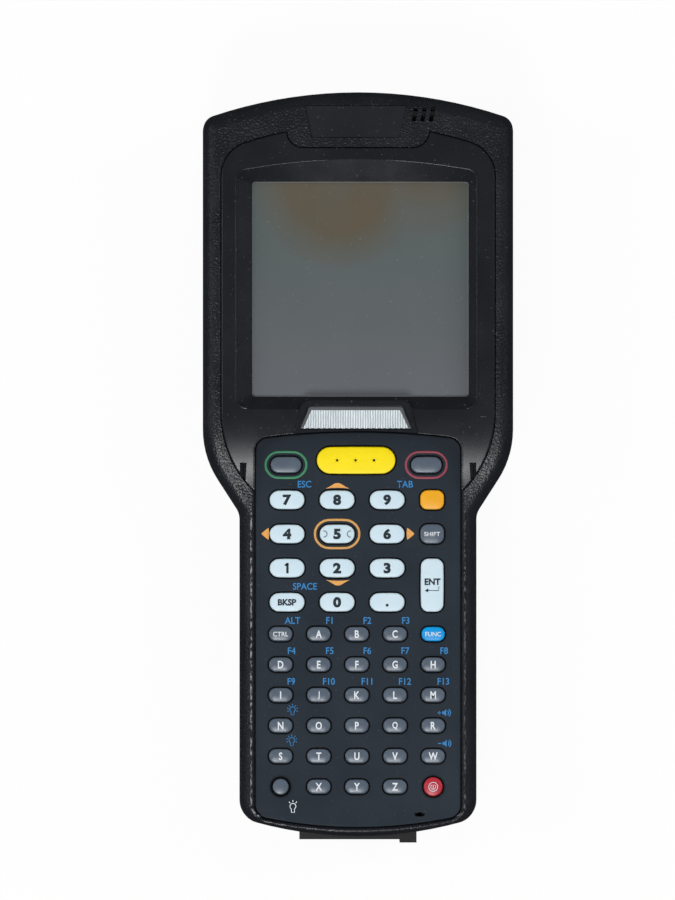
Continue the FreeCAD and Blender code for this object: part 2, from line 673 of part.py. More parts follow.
def keypad_rim(edge):
    """True for the housing's front edges along the two sides of the keypad panel."""
    box = edge.BoundBox
    side = (panel_half + fit_gap).value
    beside = abs(abs(box.Center.x) - side) < 0.01 and box.XLength < 0.01
    return beside and box.ZMin > (grip_z - 0.5).value and not is_upright(edge)


def small_screws():
    return mirrored([(keypad_screw_x, -y) for y in (keypad_screw_high, keypad_screw_mid, keypad_screw_low)])


def glass_frame(margin):
    """A rectangle round the visible screen."""
    margin = size_of(margin)
    return rectangle(-screen_left - margin, screen_low - margin,
                     screen_right + margin, screen_high + margin)


def bar_outline(grow_by):
    """The light bar's tapered outline, its two upper corners rounded."""
    grow_by = size_of(grow_by)
    low, high = bar_low_half + grow_by, bar_high_half + grow_by
    foot, top = bar_low - grow_by, bar_high + grow_by
    radius = bar_round + grow_by
    taper, rise = low - high, top - foot
    side = (taper * taper + rise * rise).root()
    reach = radius * rise / (side + taper)
    bend_x, bend_y = reach * taper / side, reach * rise / side
    return [(-bar_centre - low, foot), (low - bar_centre, foot),
            (high + bend_x - bar_centre, top - bend_y), (high - reach - bar_centre, top, radius, 1),
            (reach - bar_centre - high, top), (-bar_centre - high - bend_x, top - bend_y, radius, 1)]


def ramp_height(y):
    """Height of the front face at a place on the upper half of the ramp."""
    rise = (head_z - grip_z) / 2
    radius = (ramp_half * ramp_half + rise * rise) / (rise * 2)
    run = ramp_half - y
    return head_z - radius + (radius * radius - run * run).root()


def crease_cut(x, height, half, deep):
    """A narrow wedge, point down, that opens upward through the front face."""
    return [(x, height - deep), (x + half * 2, height + deep), (x - half * 2, height + deep)]


def badge_outline(grow_by):
    low, high = badge_low_half + grow_by, badge_high_half + grow_by
    return [(-bar_centre - low, badge_low - grow_by), (low - bar_centre, badge_low - grow_by),
            (high - bar_centre, badge_high + grow_by), (-bar_centre - high, badge_high + grow_by)]


def slanted_slot(index):
    x = slot_first_x + slot_pitch * index
    half = slot_width / 2
    return [(x - half - slot_lean, slot_low), (x + half - slot_lean, slot_low),
            (x + half + slot_lean, slot_high), (x - half + slot_lean, slot_high)]


def top_strip(outer, inner, half):
    """A strip that follows the arched top end, between two depths."""
    half = size_of(half)
    near, far = top_radius - outer, top_radius - inner
    centre = half_length - top_radius
    near_y = centre + (near * near - half * half).root()
    far_y = centre + (far * far - half * half).root()
    return [(-half, far_y), (half, far_y, far, -1), (half, near_y), (-half, near_y, near, 1)]


# Where the keys sit: x, y and radius of round ones; x, y, width, height of pills;
# a corner radius besides for the squarer ones
columns = [-number_x - number_pitch_x, -number_x, number_pitch_x - number_x]
letter_columns = [letter_pitch_x * (n - 2) - letter_x for n in range(5)]
number_rows = [-number_y - number_pitch_y * n for n in range(4)]
letter_rows = [-letter_y - letter_pitch_y * n for n in range(6)]
number_names = [["key_7", "key_8", "key_9"], ["key_4", "key_5", "key_6"],
                ["key_1", "key_2", "key_3"], ["key_backspace", "key_0", "key_point"]]
letter_size = (letter_wide, letter_high)
soft_size = (soft_wide, soft_high)
square_size = (square_wide, square_high, square_round)
keys = {"scan_key": [(-scan_x, scan_y, scan_wide, scan_high)],
        "key_green": [(-scan_x - soft_x, soft_y) + soft_size],
        "key_red": [(soft_x - scan_x, soft_y) + soft_size]}
for row, names in enumerate(number_names):
    for column, name in enumerate(names):
        keys[name] = [(columns[column], number_rows[row], number_wide, number_high)]
keys["key_orange"] = [(side_x, number_rows[0]) + square_size]
keys["key_shift"] = [(side_x, number_rows[1]) + square_size]
keys["key_enter"] = [(side_x, (number_rows[2] + number_rows[3]) / 2, enter_wide, enter_high, square_round)]
keys["key_ctrl"] = [(letter_columns[0], letter_rows[0]) + letter_size]
keys["key_func"] = [(letter_columns[4], letter_rows[0]) + letter_size]
keys["key_light"] = [(letter_columns[0], letter_rows[5], light_radius)]
keys["key_power"] = [(letter_columns[4], letter_rows[5], power_radius)]
letter_names = [("keys_abc", 0, 1, 4), ("keys_d_h", 1, 0, 5), ("keys_i_m", 2, 0, 5),
                ("keys_n_r", 3, 0, 5), ("keys_s_w", 4, 0, 5), ("keys_xyz", 5, 1, 4)]
for name, row, first, end in letter_names:
    keys[name] = [(x, letter_rows[row]) + letter_size for x in letter_columns[first:end]]
all_keys = [key for group in keys.values() for key in group]


def key_shape(key, grow_by):
    """The outline of one key, moved outward."""
    grow_by = size_of(grow_by)
    if len(key) == 3:
        return (key[0], key[1], key[2] + grow_by)
    x, y, wide, high = key[:4]
    if len(key) == 4:
        return pill(x, y, wide + grow_by * 2, high + grow_by * 2)
    return cushion(x, y, wide + grow_by * 2, high + grow_by * 2, grow_by + key[4])


def tapered(half, toe_half, toe):
    """The outline of a flat piece under the keypad, narrowed towards its bottom edge."""
    return [(-half, -plate_low), (-toe_half, -toe), (toe_half, -toe), (half, -plate_low),
            (half, plate_top), (-half, plate_top)]


def spots_with(radius, spots):
    return [(x, y, size_of(radius)) for x, y in spots]


key_spots = [(size_of(key[0]), size_of(key[1])) for key in all_keys]
all_round = head_half * 3

# Front housing: grip and head frame in one shell
front = new_body("front_housing")
up(front, split_z, head_z, outline(front_inset))
carve(front, "YZ_Plane", 0, all_round, front_shape(), even=True)
soften(front, rim_between(split_z + 1, ceiling), edge_round)
out(front, deck_z, ceiling, bezel_outline(fit_gap))
out(front, panel_seat_z, ceiling, panel_outline(fit_gap))
soften(front, keypad_rim, rim_edge)
out(front, split_z, deck_under_z, outline(wall + front_inset))
out(front, deck_under_z - 1, loft_z, rectangle(-loft_half, loft_low, loft_half, loft_high))
out(front, deck_under_z - 1, deck_z + 1, glass_frame(lcd_margin + fit_gap))
out(front, deck_under_z - 1, deck_z, rounded(-open_half, -open_low, open_half, open_high, 2))
out(front, deck_under_z - 1, deck_z, (mic_x, -mic_y, sound_hole))
out(front, badge_floor_z, ceiling, badge_outline(fit_gap))
out(front, loft_z - 1, ceiling, *[slanted_slot(n) for n in range(3)])
head_screws = mirrored([(head_screw_x, head_screw_low), (head_screw_x, head_screw_high)])
grip_screws = mirrored([(grip_screw_x, -grip_screw_high), (grip_screw_x, -grip_screw_low)])
pilot_z = screw_seat + screw_length + 1
up(front, split_z, deck_under_z + 0.5, *spots_with(boss_radius, head_screws))
up(front, split_z, keyboard_low_z - 0.4, *spots_with(boss_radius, grip_screws))
out(front, split_z, pilot_z, *spots_with(screw_radius + bore_gap, head_screws))
out(front, split_z, keyboard_low_z - 1, *spots_with(screw_radius + bore_gap, grip_screws))
small_holes = small_screws()
keypad_screw_top = keyboard_low_z + keypad_screw_length
out(front, deck_under_z, keypad_screw_top + 0.3, *spots_with(keypad_screw_radius + bore_gap, small_holes))

# Rear housing: head hump, battery well, nose with the scan window
rear = new_body("rear_housing")
up(rear, 0, split_z, outline(0))
carve(rear, "YZ_Plane", 0, all_round, back_tail(), even=True)
carve(rear, "YZ_Plane", 0, all_round, back_nose(), even=True)
soften(rear, rim_between(-1, split_z - 1), rear_round)
groove_end = groove_y + groove_half
cave = [(cave_low, split_z), (cave_low, groove_deep + wall + 1), (groove_end, groove_deep + wall),
        (groove_end + 4, cave_floor), (nose_start, cave_floor), (cave_high, nose_z), (cave_high, split_z)]
carve(rear, "YZ_Plane", 0, cave_half * 2, cave, even=True)
nose_floor = view_low - wall + 1
out(rear, nose_floor, split_z, [(-view_half - 1, cave_high - 4)] + [(view_half + 1, cave_high - 4)]
    + top_strip(3, 3, view_half + 1)[2:])
window_low, window_high = view_low - fit_gap, view_high + fit_gap
out(rear, window_low, window_high, top_strip(-1, view_sink + view_thick + fit_gap, view_half + fit_gap))
out(rear, view_low + view_ledge, view_high - view_ledge, top_strip(-1, 4, view_half - view_ledge))
out(rear, -1, well_z, rectangle(-well_half, -well_low, well_half, -well_high))
groove_radius = (groove_half * groove_half + groove_deep * groove_deep) / (groove_deep * 2)
carve(rear, "YZ_Plane", 0, all_round, (groove_y, groove_deep - groove_radius, groove_radius), even=True)
up(rear, groove_deep + 1, split_z, *spots_with(boss_radius, head_screws))
bores = head_screws + grip_screws
out(rear, -1, screw_seat, *spots_with(screw_head + hole_gap * 2, bores))
out(rear, screw_seat, split_z, *spots_with(screw_radius + hole_gap, bores))
out(rear, split_z - seal_deep, split_z, outline(seal_inset - bore_gap), outline(seal_inset + seal_wide + bore_gap))
carve(rear, "XZ_Plane", well_high, contact_deep,
      rectangle(-contact_half, contact_low, contact_half, contact_high))
out(rear, -1, latch_floor, rectangle(-nose_half - 0.3, -well_low - nose_long - 0.4, nose_half + 0.3, -well_low))
plug_back = plug_y - plug_deep
carve(rear, "XZ_Plane", half_length + 2, half_length + 2 - plug_back + fit_gap,
      rectangle(-plug_half - fit_gap, plug_low - fit_gap, plug_half + fit_gap, plug_high + fit_gap))
out(rear, -1, strap_z + strap_radius + 0.9,
    rectangle(-strap_half, -strap_y - strap_open, strap_half, strap_open - strap_y))
carve(rear, "YZ_Plane", 0, (strap_half + strap_hold) * 2, (-strap_y, strap_z, strap_radius + bore_gap), even=True)

# Display bezel with its recess and the raised frame of the light bar
bezel = new_body("display_bezel")
bezel_low_z = deck_z + seat_gap
up(bezel, bezel_low_z, head_z, bezel_outline(0))
carve(bezel, "YZ_Plane", 0, all_round, front_shape(), even=True)
soften(bezel, rim_between(deck_z + 1, ceiling), bezel_edge)
for side in (1, -1):
    crease = bezel.newObject("PartDesign::SubtractiveLoft", "crease")
    tip = crease_cut(crease_high_x * side, head_z, crease_wide / 20, crease_deep / 20)
    toe = crease_cut(crease_low_x * side, ramp_height(-crease_low), crease_wide, crease_deep)
    crease.Profile = draw(bezel, "XZ_Plane", -crease_high, tip)
    crease.Sections = [draw(bezel, "XZ_Plane", crease_low, toe)]
    crease.Ruled = True
    document.recompute()
recess_top_radius = (recess_right * recess_right + recess_rise * recess_rise) / (recess_rise * 2)
edge = recess_round
recess_top = [(recess_right - edge, recess_low), (recess_right, recess_low + edge, edge, 1),
              (recess_right, recess_high - edge), (recess_right - edge, recess_high, edge, 1),
              (edge - recess_left, recess_high, recess_top_radius, 1), (-recess_left, recess_high - edge, edge, 1),
              (-recess_left, recess_low + edge), (edge - recess_left, recess_low, edge, 1)]
small = screen_round
recess_foot = [(screen_right - small, screen_low), (screen_right, screen_low + small, small, 1),
               (screen_right, screen_high - small), (screen_right - small, screen_high, small, 1),
               (small - screen_left, screen_high, recess_top_radius * 20, 1),
               (-screen_left, screen_high - small, small, 1),
               (-screen_left, screen_low + small), (small - screen_left, screen_low, small, 1)]
loft = bezel.newObject("PartDesign::SubtractiveLoft", "display_recess")
loft.Profile = draw(bezel, "XY_Plane", head_z, recess_top)
loft.Sections = [draw(bezel, "XY_Plane", lip_z + lip_thick, recess_foot)]
loft.Ruled = True
document.recompute()
out(bezel, deck_z, head_z, recess_foot)
out(bezel, deck_z, lip_z, glass_frame(glass_margin + fit_gap))
up(bezel, lip_z + lip_thick, crown_z, bar_outline(bar_frame))
soften(bezel, rim_between(crown_z - 0.01, ceiling), bar_edge)
out(bezel, bar_floor_z, ceiling, bar_outline(fit_gap))
out(bezel, deck_z, ceiling, panel_outline(key_gap))

# Light bar and badge plate
light = new_body("light_bar")
up(light, bar_floor_z + seat_gap, crown_z - fit_gap, bar_outline(0))
soften(light, rim_between(crown_z - fit_gap - 0.01, ceiling), bar_edge)
badge = new_body("badge_plate")
up(badge, badge_floor_z, head_z - seat_gap, badge_outline(0))

# Keypad panel
panel = new_body("keypad_panel")
up(panel, panel_seat_z, panel_z, panel_outline(0))
soften(panel, rim_between(panel_z - 0.01, ceiling), 0.3)
for group in keys.values():
    out(panel, panel_seat_z - 1, panel_z + 1, *[key_shape(key, key_gap) for key in group])
out(panel, panel_seat_z - 1, panel_z + 1, pill(mic_x, -mic_y, mic_half * 2, mic_high))

# Keys: a cap above the panel and a flange under it
for name, group in keys.items():
    body = new_body(name)
    if len(group) > 1:
        first, last = group[0], group[-1]
        web = rectangle(first[0], first[1] - web_half, last[0], last[1] + web_half)
        up(body, flange_low_z, flange_top_z, web)
    up(body, flange_low_z, flange_top_z, *[key_shape(key, flange) for key in group])
    up(body, flange_low_z, key_top_z, *[key_shape(key, 0) for key in group])
    soften(body, rim_between(key_top_z - 0.01, ceiling), key_round)

# Keypad mat, snap domes, board, screws and microphone
mat = new_body("keypad_mat")
up(mat, mat_low_z, mat_top_z, tapered(mat_half, mat_toe_half, mat_toe))
up(mat, mat_top_z, pad_top_z, *spots_with(pad_radius, key_spots))
out(mat, mat_low_z, mat_low_z + dome_thick + 0.1, *spots_with(dome_radius + 0.3, key_spots))
out(mat, mat_low_z, mat_top_z, *spots_with(keypad_screw_radius + hole_gap, small_holes))
domes = new_body("key_domes", several=True)
up(domes, keyboard_top_z, keyboard_top_z + dome_thick, *spots_with(dome_radius, key_spots))
keyboard = new_body("keypad_board")
up(keyboard, keyboard_low_z, keyboard_top_z, tapered(board_half, board_toe_half, board_toe))
out(keyboard, keyboard_low_z, keyboard_top_z, *spots_with(keypad_screw_radius + hole_gap, small_holes))
tacks = new_body("keypad_screws", several=True)
up(tacks, keyboard_low_z - 0.9, keyboard_low_z, *spots_with(keypad_screw_head, small_holes))
up(tacks, keyboard_low_z, keypad_screw_top, *spots_with(keypad_screw_radius, small_holes))
microphone = new_body("microphone")
up(microphone, keyboard_top_z, mat_top_z, block(mic_x, -mic_y, mic_wide, mic_tall))

# Touch panel, display module and chassis
glass = new_body("touch_panel")
up(glass, glass_low_z, glass_top_z, glass_frame(glass_margin))
screen = new_body("lcd_module")
up(screen, lcd_low_z, lcd_top_z, glass_frame(lcd_margin))
chassis = new_body("chassis")
up(chassis, chassis_low_z, chassis_top_z, rectangle(-chassis_half, chassis_low, chassis_half, chassis_high))
posts = mirrored([(post_x, chassis_low + 6), (post_x, chassis_high - 6)])
up(chassis, main_top_z, chassis_low_z, *spots_with(post_radius, posts))

# Main board and what it carries
main = new_body("main_board")
up(main, main_z, main_top_z, rectangle(-main_half, chassis_low + 1, main_half, chassis_high - 1))
cans = new_body("shield_cans", several=True)
up(cans, main_top_z, main_top_z + can_tall, rectangle(-can_left, can_low, 0, can_low + can_long),
   rectangle(can_split, can_low, can_right, can_low + can_short))
socket = new_body("card_socket")
up(socket, main_top_z, main_top_z + socket_tall, block(-socket_x, socket_y, socket_side, socket_side))
cell = new_body("backup_cell")
up(cell, main_z - cell_tall, main_z, (cell_x, cell_y, cell_radius))

# Speaker and antenna behind the badge
speaker = new_body("speaker")
sound_x = slot_first_x + slot_pitch
up(speaker, loft_z - seat_gap - speaker_tall, loft_z - seat_gap,
   block(sound_x, loft_low + 3, speaker_wide, speaker_long))
antenna = new_body("antenna")
up(antenna, loft_z - seat_gap - antenna_tall, loft_z - seat_gap,
   rectangle(-antenna_left, loft_low + 1, -antenna_right, loft_low + 5))

# Scan engine and its window
engine = new_body("scan_engine")
engine_z = nose_floor + seat_gap
up(engine, engine_z, engine_z + engine_tall, rectangle(-engine_half, engine_low, engine_half, engine_high))
carve(engine, "XZ_Plane", -engine_high, 1.2, (-4, engine_z + 5, 2.6), rectangle(2, engine_z + 3, 9, engine_z + 7),
      back=True)
window = new_body("scan_window")
up(window, view_low, view_high, top_strip(view_sink, view_sink + view_thick, view_half))

# Battery with its latch, and the contacts in the well
pack_half, pack_top = well_half - pack_gap, well_z - pack_gap
pack_low, pack_high = pack_gap - well_low, -well_high - pack_gap
pack = new_body("battery_case")
up(pack, 0, pack_top, rounded(-pack_half, pack_low, pack_half, pack_high, pack_round))
bed_low = pack_low + latch_bar
bed_high = bed_low + latch_long + latch_travel + 0.5
out(pack, -1, latch_floor, rectangle(-latch_half - latch_gap, bed_low, latch_half + latch_gap, bed_high))
out(pack, -1, latch_floor, rectangle(-nose_half - latch_gap, pack_low - 1, nose_half + latch_gap, bed_low))
tray_z = latch_floor + pack_wall
out(pack, tray_z, pack_top, rectangle(pack_wall - pack_half, pack_low + pack_wall,
                                      pack_half - pack_wall, pack_high - pack_wall))
cells = new_body("battery_cells")
up(cells, tray_z, pack_top - seat_gap, rectangle(
    pack_wall + fit_gap - pack_half, pack_low + pack_wall + fit_gap,
    pack_half - pack_wall - fit_gap, pack_high - pack_wall - fit_gap))
latch = new_body("battery_latch")
latch_low, latch_top = latch_sink, latch_thick + latch_sink
latch_start = bed_low + latch_gap
up(latch, latch_low, latch_top, rectangle(-latch_half, latch_start, latch_half, latch_start + latch_long))
up(latch, latch_low, latch_top, rectangle(-nose_half, pack_low - nose_long, nose_half, latch_start))
ridge_starts = [latch_start + 2 + ridge_pitch * n for n in range(4)]
ridges = [rectangle(1 - latch_half, y, latch_half - 1, y + ridge_wide) for y in ridge_starts]
out(latch, latch_low - 1, latch_low + 0.5, *ridges)
spring = new_body("latch_spring")
up(spring, latch_top + 0.1, latch_floor - 0.1, rectangle(-1.5, latch_start + 0.5, 1.5, bed_high - 0.3))
contacts = new_body("battery_contacts")
grow(contacts, "XZ_Plane", well_high - contact_deep + seat_gap, contact_deep - seat_gap,
     rectangle(fit_gap - contact_half, fit_gap + contact_low, contact_half - fit_gap, contact_high - fit_gap))
blades = [rectangle(-6.6 + n * 3, contact_low + 1.5, -5.4 + n * 3, contact_high - 1.5) for n in range(5)]
grow(contacts, "XZ_Plane", well_high, 0.15, *blades)

# Connector at the bottom end, strap pin
plug = new_body("io_connector")
grow(plug, "XZ_Plane", plug_back, plug_deep, rectangle(-plug_half, plug_low, plug_half, plug_high))
grow(plug, "XZ_Plane", plug_y - 2, lug_long + 2, rectangle(plug_half - lug_wide, plug_low, plug_half, plug_high))
carve(plug, "XZ_Plane", half_length, lug_long + plug_hollow,
      rectangle(plug_wall - plug_half, plug_low + plug_wall, plug_half - lug_wide - 0.6, plug_high - plug_wall))
pins = new_body("io_contacts", several=True)
middle_z = (plug_low + plug_high) / 2
pin_bars = [rectangle(-12 + n * 2.6, middle_z - 0.3, -11 + n * 2.6, middle_z + 0.3) for n in range(pin_count)]
grow(pins, "XZ_Plane", plug_y - plug_hollow, plug_hollow - 1.5, *pin_bars)
strap = new_body("strap_pin")
grow(strap, "YZ_Plane", 0, strap_half * 2 + 4.2, (-strap_y, strap_z, strap_radius), even=True)

# Seal and housing screws
seal = new_body("housing_seal")
up(seal, split_z - seal_deep, split_z, outline(seal_inset), outline(seal_inset + seal_wide))
screws = new_body("housing_screws", several=True)
up(screws, screw_seat - screw_head_thick, screw_seat, *spots_with(screw_head, bores))
up(screws, screw_seat, screw_seat + screw_length - 0.5, *spots_with(screw_radius, head_screws))
up(screws, screw_seat, keyboard_low_z - 1.2, *spots_with(screw_radius, grip_screws))
out(screws, screw_seat - screw_head_thick - 1, screw_seat - screw_head_thick + 0.8, *spots_with(0.9, bores))

document.recompute()

os.makedirs("parts", exist_ok=True)
for item in document.Objects:
    if "Invalid" in item.State or "Error" in item.State:
        raise SystemExit("broken feature: " + item.Name)
for body in bodies:
    if body.Shape.isNull() or not body.Shape.isValid():
        raise SystemExit("no sound solid: " + body.Label)
    body.Shape.exportStep("parts/" + body.Label + ".step")
print(len(bodies), "pieces written")
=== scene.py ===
import bmesh
import bpy
import math
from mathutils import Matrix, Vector


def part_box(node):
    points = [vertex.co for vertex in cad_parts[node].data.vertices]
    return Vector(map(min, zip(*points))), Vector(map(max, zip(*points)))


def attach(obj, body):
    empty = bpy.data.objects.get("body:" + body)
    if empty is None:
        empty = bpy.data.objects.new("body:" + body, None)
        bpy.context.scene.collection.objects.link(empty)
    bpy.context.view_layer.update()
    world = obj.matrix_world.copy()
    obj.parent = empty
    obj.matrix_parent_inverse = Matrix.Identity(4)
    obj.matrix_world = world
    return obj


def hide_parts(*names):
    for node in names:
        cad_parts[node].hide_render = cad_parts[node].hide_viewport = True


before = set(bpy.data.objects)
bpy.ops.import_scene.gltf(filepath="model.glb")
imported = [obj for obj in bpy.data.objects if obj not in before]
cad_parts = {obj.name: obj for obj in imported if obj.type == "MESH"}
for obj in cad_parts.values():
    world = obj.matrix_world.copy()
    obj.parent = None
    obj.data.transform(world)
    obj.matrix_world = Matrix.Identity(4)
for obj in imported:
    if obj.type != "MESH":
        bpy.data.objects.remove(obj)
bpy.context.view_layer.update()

# A barcode data terminal seen from straight above, lying on its back on a pale floor.
# Metres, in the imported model's own frame: +Z up, +Y towards the head.

MM = 0.001
ROOT = "terminal"
scene = bpy.context.scene
scene.view_settings.view_transform = "Standard"

# The badge's face lies this far under the head's, and the panel's under the grip's rails
BADGE_SINK = 0.1 * MM
RAIL_STEP = 0.8 * MM

# A key's flange stands out this far round its cap
FLANGE = 0.75 * MM

# Print lies this far over its surface, and the thin bands and lines under it this far
LIFT = 0.03 * MM
THIN_LIFT = 0.01 * MM

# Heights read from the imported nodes
panel_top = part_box("keypad_panel")[1].z
head_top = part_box("badge_plate")[1].z + BADGE_SINK
bar_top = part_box("light_bar")[1].z
key_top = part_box("key_7")[1].z
glass_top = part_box("touch_panel")[1].z
grip_top = panel_top + RAIL_STEP
on_panel = panel_top + LIFT
on_crown = key_top + LIFT

# Camera: the photograph's frame, its scale and its middle
PHOTO_WIDE, PHOTO_HIGH = 675, 900
PHOTO_SCALE = 0.2585 * MM
PHOTO_MIDDLE = (358, 468)
CAMERA_AWAY = 2.6
SHARP_HEIGHT = 0.026
SENSOR = 24
camera = bpy.data.objects.new("Camera", bpy.data.cameras.new("Camera"))
scene.collection.objects.link(camera)
aim_x = (PHOTO_WIDE / 2 - PHOTO_MIDDLE[0]) * PHOTO_SCALE
aim_y = (PHOTO_MIDDLE[1] - PHOTO_HIGH / 2) * PHOTO_SCALE
camera.location = (aim_x, aim_y, CAMERA_AWAY)
camera.data.sensor_fit = "VERTICAL"
camera.data.sensor_height = SENSOR
camera.data.lens = SENSOR * (CAMERA_AWAY - SHARP_HEIGHT) / (PHOTO_HIGH * PHOTO_SCALE)
camera.data.clip_start = 0.05
camera.data.clip_end = 10
scene.camera = camera


# Node-based materials
class Paint:
    """A Principled material with a few short ways to wire its nodes."""

    def __init__(self, name, colour, roughness, **sockets):
        self.material = bpy.data.materials.new(name)
        self.material.use_nodes = True
        self.tree = self.material.node_tree
        self.shader = self.tree.nodes["Principled BSDF"]
        self.shader.inputs["Base Color"].default_value = (*colour, 1)
        self.shader.inputs["Roughness"].default_value = roughness
        for socket, value in sockets.items():
            self.shader.inputs[socket.replace("_", " ")].default_value = value
        self.place = self.add("ShaderNodeTexCoord").outputs["Object"]

    def add(self, kind, **settings):
        """A new node; each setting is a socket's value or else a property."""
        node = self.tree.nodes.new(kind)
        for key, value in settings.items():
            if key in node.inputs:
                node.inputs[key].default_value = value
            else:
                setattr(node, key, value)
        return node

    def link(self, start, end):
        self.tree.links.new(start, end)

    def noise(self, size, detail=2.0, rough=0.5, stretch=None):
        """Noise whose grain is about size across."""
        node = self.add("ShaderNodeTexNoise", Scale=1 / size, Detail=detail, Roughness=rough)
        place = self.place
        if stretch:
            mapping = self.add("ShaderNodeMapping")
            mapping.inputs["Scale"].default_value = stretch
            self.link(place, mapping.inputs["Vector"])
            place = mapping.outputs["Vector"]
        self.link(place, node.inputs["Vector"])
        return node.outputs["Fac"]

    def band(self, value, low, high, bottom=0.0, top=1.0):
        """Map a value's low..high to bottom..top, held at both ends."""
        node = self.add("ShaderNodeMapRange", clamp=True)
        for socket, number in (("From Min", low), ("From Max", high), ("To Min", bottom), ("To Max", top)):
            node.inputs[socket].default_value = number
        self.link(value, node.inputs["Value"])
        return node.outputs["Result"]

    def times(self, one, two):
        """The product of two values; each is a number or a socket."""
        node = self.add("ShaderNodeMath", operation="MULTIPLY")
        for socket, value in zip(node.inputs, (one, two)):
            if isinstance(value, float):
                socket.default_value = value
            else:
                self.link(value, socket)
        return node.outputs[0]

    def mix(self, share, one, two):
        """Blend two colours, each a tuple or a socket, by a share that is a socket."""
        node = self.add("ShaderNodeMix", data_type="RGBA")
        self.link(share, node.inputs[0])
        for socket, value in ((node.inputs[6], one), (node.inputs[7], two)):
            if isinstance(value, tuple):
                socket.default_value = (*value, 1)
            else:
                self.link(value, socket)
        return node.outputs[2]

    def specks(self, size, low, high, share):
        """Rare small dots of dust, as a share for a mix."""
        return self.times(self.band(self.noise(size, 0), low, high), share)

    def colour(self, socket):
        self.link(socket, self.shader.inputs["Base Color"])

    def rough(self, value, low, high, from_low=0.3, from_high=0.7):
        """Let a value move the roughness between low and high."""
        self.link(self.band(value, from_low, from_high, low, high), self.shader.inputs["Roughness"])

    def bump(self, height, depth, strength=1.0):
        node = self.add("ShaderNodeBump", Distance=depth, Strength=strength)
        self.link(height, node.inputs["Height"])
        self.link(node.outputs["Normal"], self.shader.inputs["Normal"])


def shade(colour, factor, more=0.0):
    """A darker or lighter neighbour of a colour."""
    return tuple(c * factor + more for c in colour)


def grained_plastic(name, colour, grain, depth, dust=0.12):
    """Moulded black plastic: leathery grain with a painted highlight on its crests, faint handling marks and
    a few specks of dust.
    """
    paint = Paint(name, colour, 0.45, Specular_IOR_Level=0.42)
    cloudy = paint.band(paint.noise(0.018, 3), 0.35, 0.7)
    base = paint.mix(cloudy, colour, shade(colour, 1.3, 0.001))
    # Painted highlight on the grain: its crests, where the bump's noise is highest, painted paler
    crests = paint.band(paint.noise(grain, 1.5), 0.56, 0.72, 0.0, 0.35)
    base = paint.mix(crests, base, shade(colour, 1.5, 0.002))
    paint.colour(paint.mix(paint.specks(0.0006, 0.8, 0.83, dust), base, (0.3, 0.3, 0.3)))
    paint.rough(paint.noise(0.01, 4), 0.24, 0.42)
    paint.bump(paint.noise(grain, 1.5), depth, 0.9)
    return paint.material


def speckled_highlight_edge(name, share):
    """Black plastic with a painted speckled highlight along a crest, in pale specks; share says how pale the
    specks are.
    """
    black = (0.008, 0.009, 0.012)
    paint = Paint(name, black, 0.3, Specular_IOR_Level=0.42)
    # Painted highlight: pale specks along the crest
    wear_and_highlight = paint.band(paint.noise(0.0007, 2, 0.6, (1, 0.55, 1)), 0.47, 0.6, 0.0, share)
    paint.colour(paint.mix(wear_and_highlight, black, (0.3, 0.31, 0.33)))
    paint.rough(paint.noise(0.01, 4), 0.24, 0.42)
    paint.bump(paint.noise(0.0005, 1.5), 0.0001, 0.9)
    return paint.material


def smooth_plastic(name, colour, roughness, dust=0.15, scratches=0.15, specular=0.42):
    """Satin plastic with a faint orange-peel, a little dust and hair-fine scratches."""
    paint = Paint(name, colour, roughness, Specular_IOR_Level=specular)
    cloudy = paint.band(paint.noise(0.015, 3), 0.35, 0.7)
    base = paint.mix(cloudy, colour, shade(colour, 1.25, 0.001))
    base = paint.mix(paint.specks(0.0005, 0.8, 0.83, dust), base, (0.4, 0.4, 0.4))
    lines = paint.band(paint.noise(0.0022, 1, 0.4, (1, 9, 1)), 0.8, 0.82)
    paint.colour(paint.mix(paint.times(lines, scratches), base, (0.2, 0.2, 0.21)))
    paint.rough(paint.noise(0.01, 4), roughness * 0.85, roughness * 1.2)
    paint.bump(paint.noise(0.0011, 2), 0.00001, 0.4)
    return paint.material


def key_plastic(name, colour, roughness=0.35, glow=0.0, deep=None):
    """A key cap: slightly milky plastic, clouded toward its deep colour."""
    paint = Paint(name, colour, roughness, Coat_Weight=0.12, Coat_Roughness=0.3)
    paint.shader.inputs["Subsurface Weight"].default_value = glow
    paint.shader.inputs["Subsurface Radius"].default_value = (0.001, 0.001, 0.001)
    cloudy = paint.band(paint.noise(0.004, 2), 0.4, 0.75, 0.0, 0.5)
    paint.colour(paint.mix(cloudy, colour, deep or shade(colour, 0.8)))
    paint.rough(paint.noise(0.003, 3), roughness * 0.85, roughness * 1.2)
    paint.bump(paint.noise(0.0009, 2), 0.000008, 0.4)
    return paint.material


def ribbed_plastic(name):
    """Clear ribs over a white backing: pale crests as a painted highlight and greyer valleys as painted
    shade, a little uneven.
    """
    paint = Paint(name, (0.7, 0.77, 0.8), 0.22, Coat_Weight=0.3, Coat_Roughness=0.15)
    wave = paint.add("ShaderNodeTexWave", Scale=491.0, Distortion=0.4, Detail=1.0)
    paint.link(paint.place, wave.inputs["Vector"])
    patchy = paint.band(paint.noise(0.0012, 2, 0.5, (1, 0.3, 1)), 0.35, 0.7)
    pale = paint.mix(patchy, (0.78, 0.85, 0.88), (0.6, 0.68, 0.72))
    # Painted highlight and shade: the same wave as the bump, pale where it is high and greyer where it is
    # low
    paint.colour(paint.mix(paint.band(wave.outputs["Fac"], 0.1, 0.7), (0.38, 0.42, 0.44), pale))
    paint.rough(patchy, 0.16, 0.3, 0.0, 1.0)
    paint.bump(wave.outputs["Fac"], 0.00008, 0.5)
    return paint.material


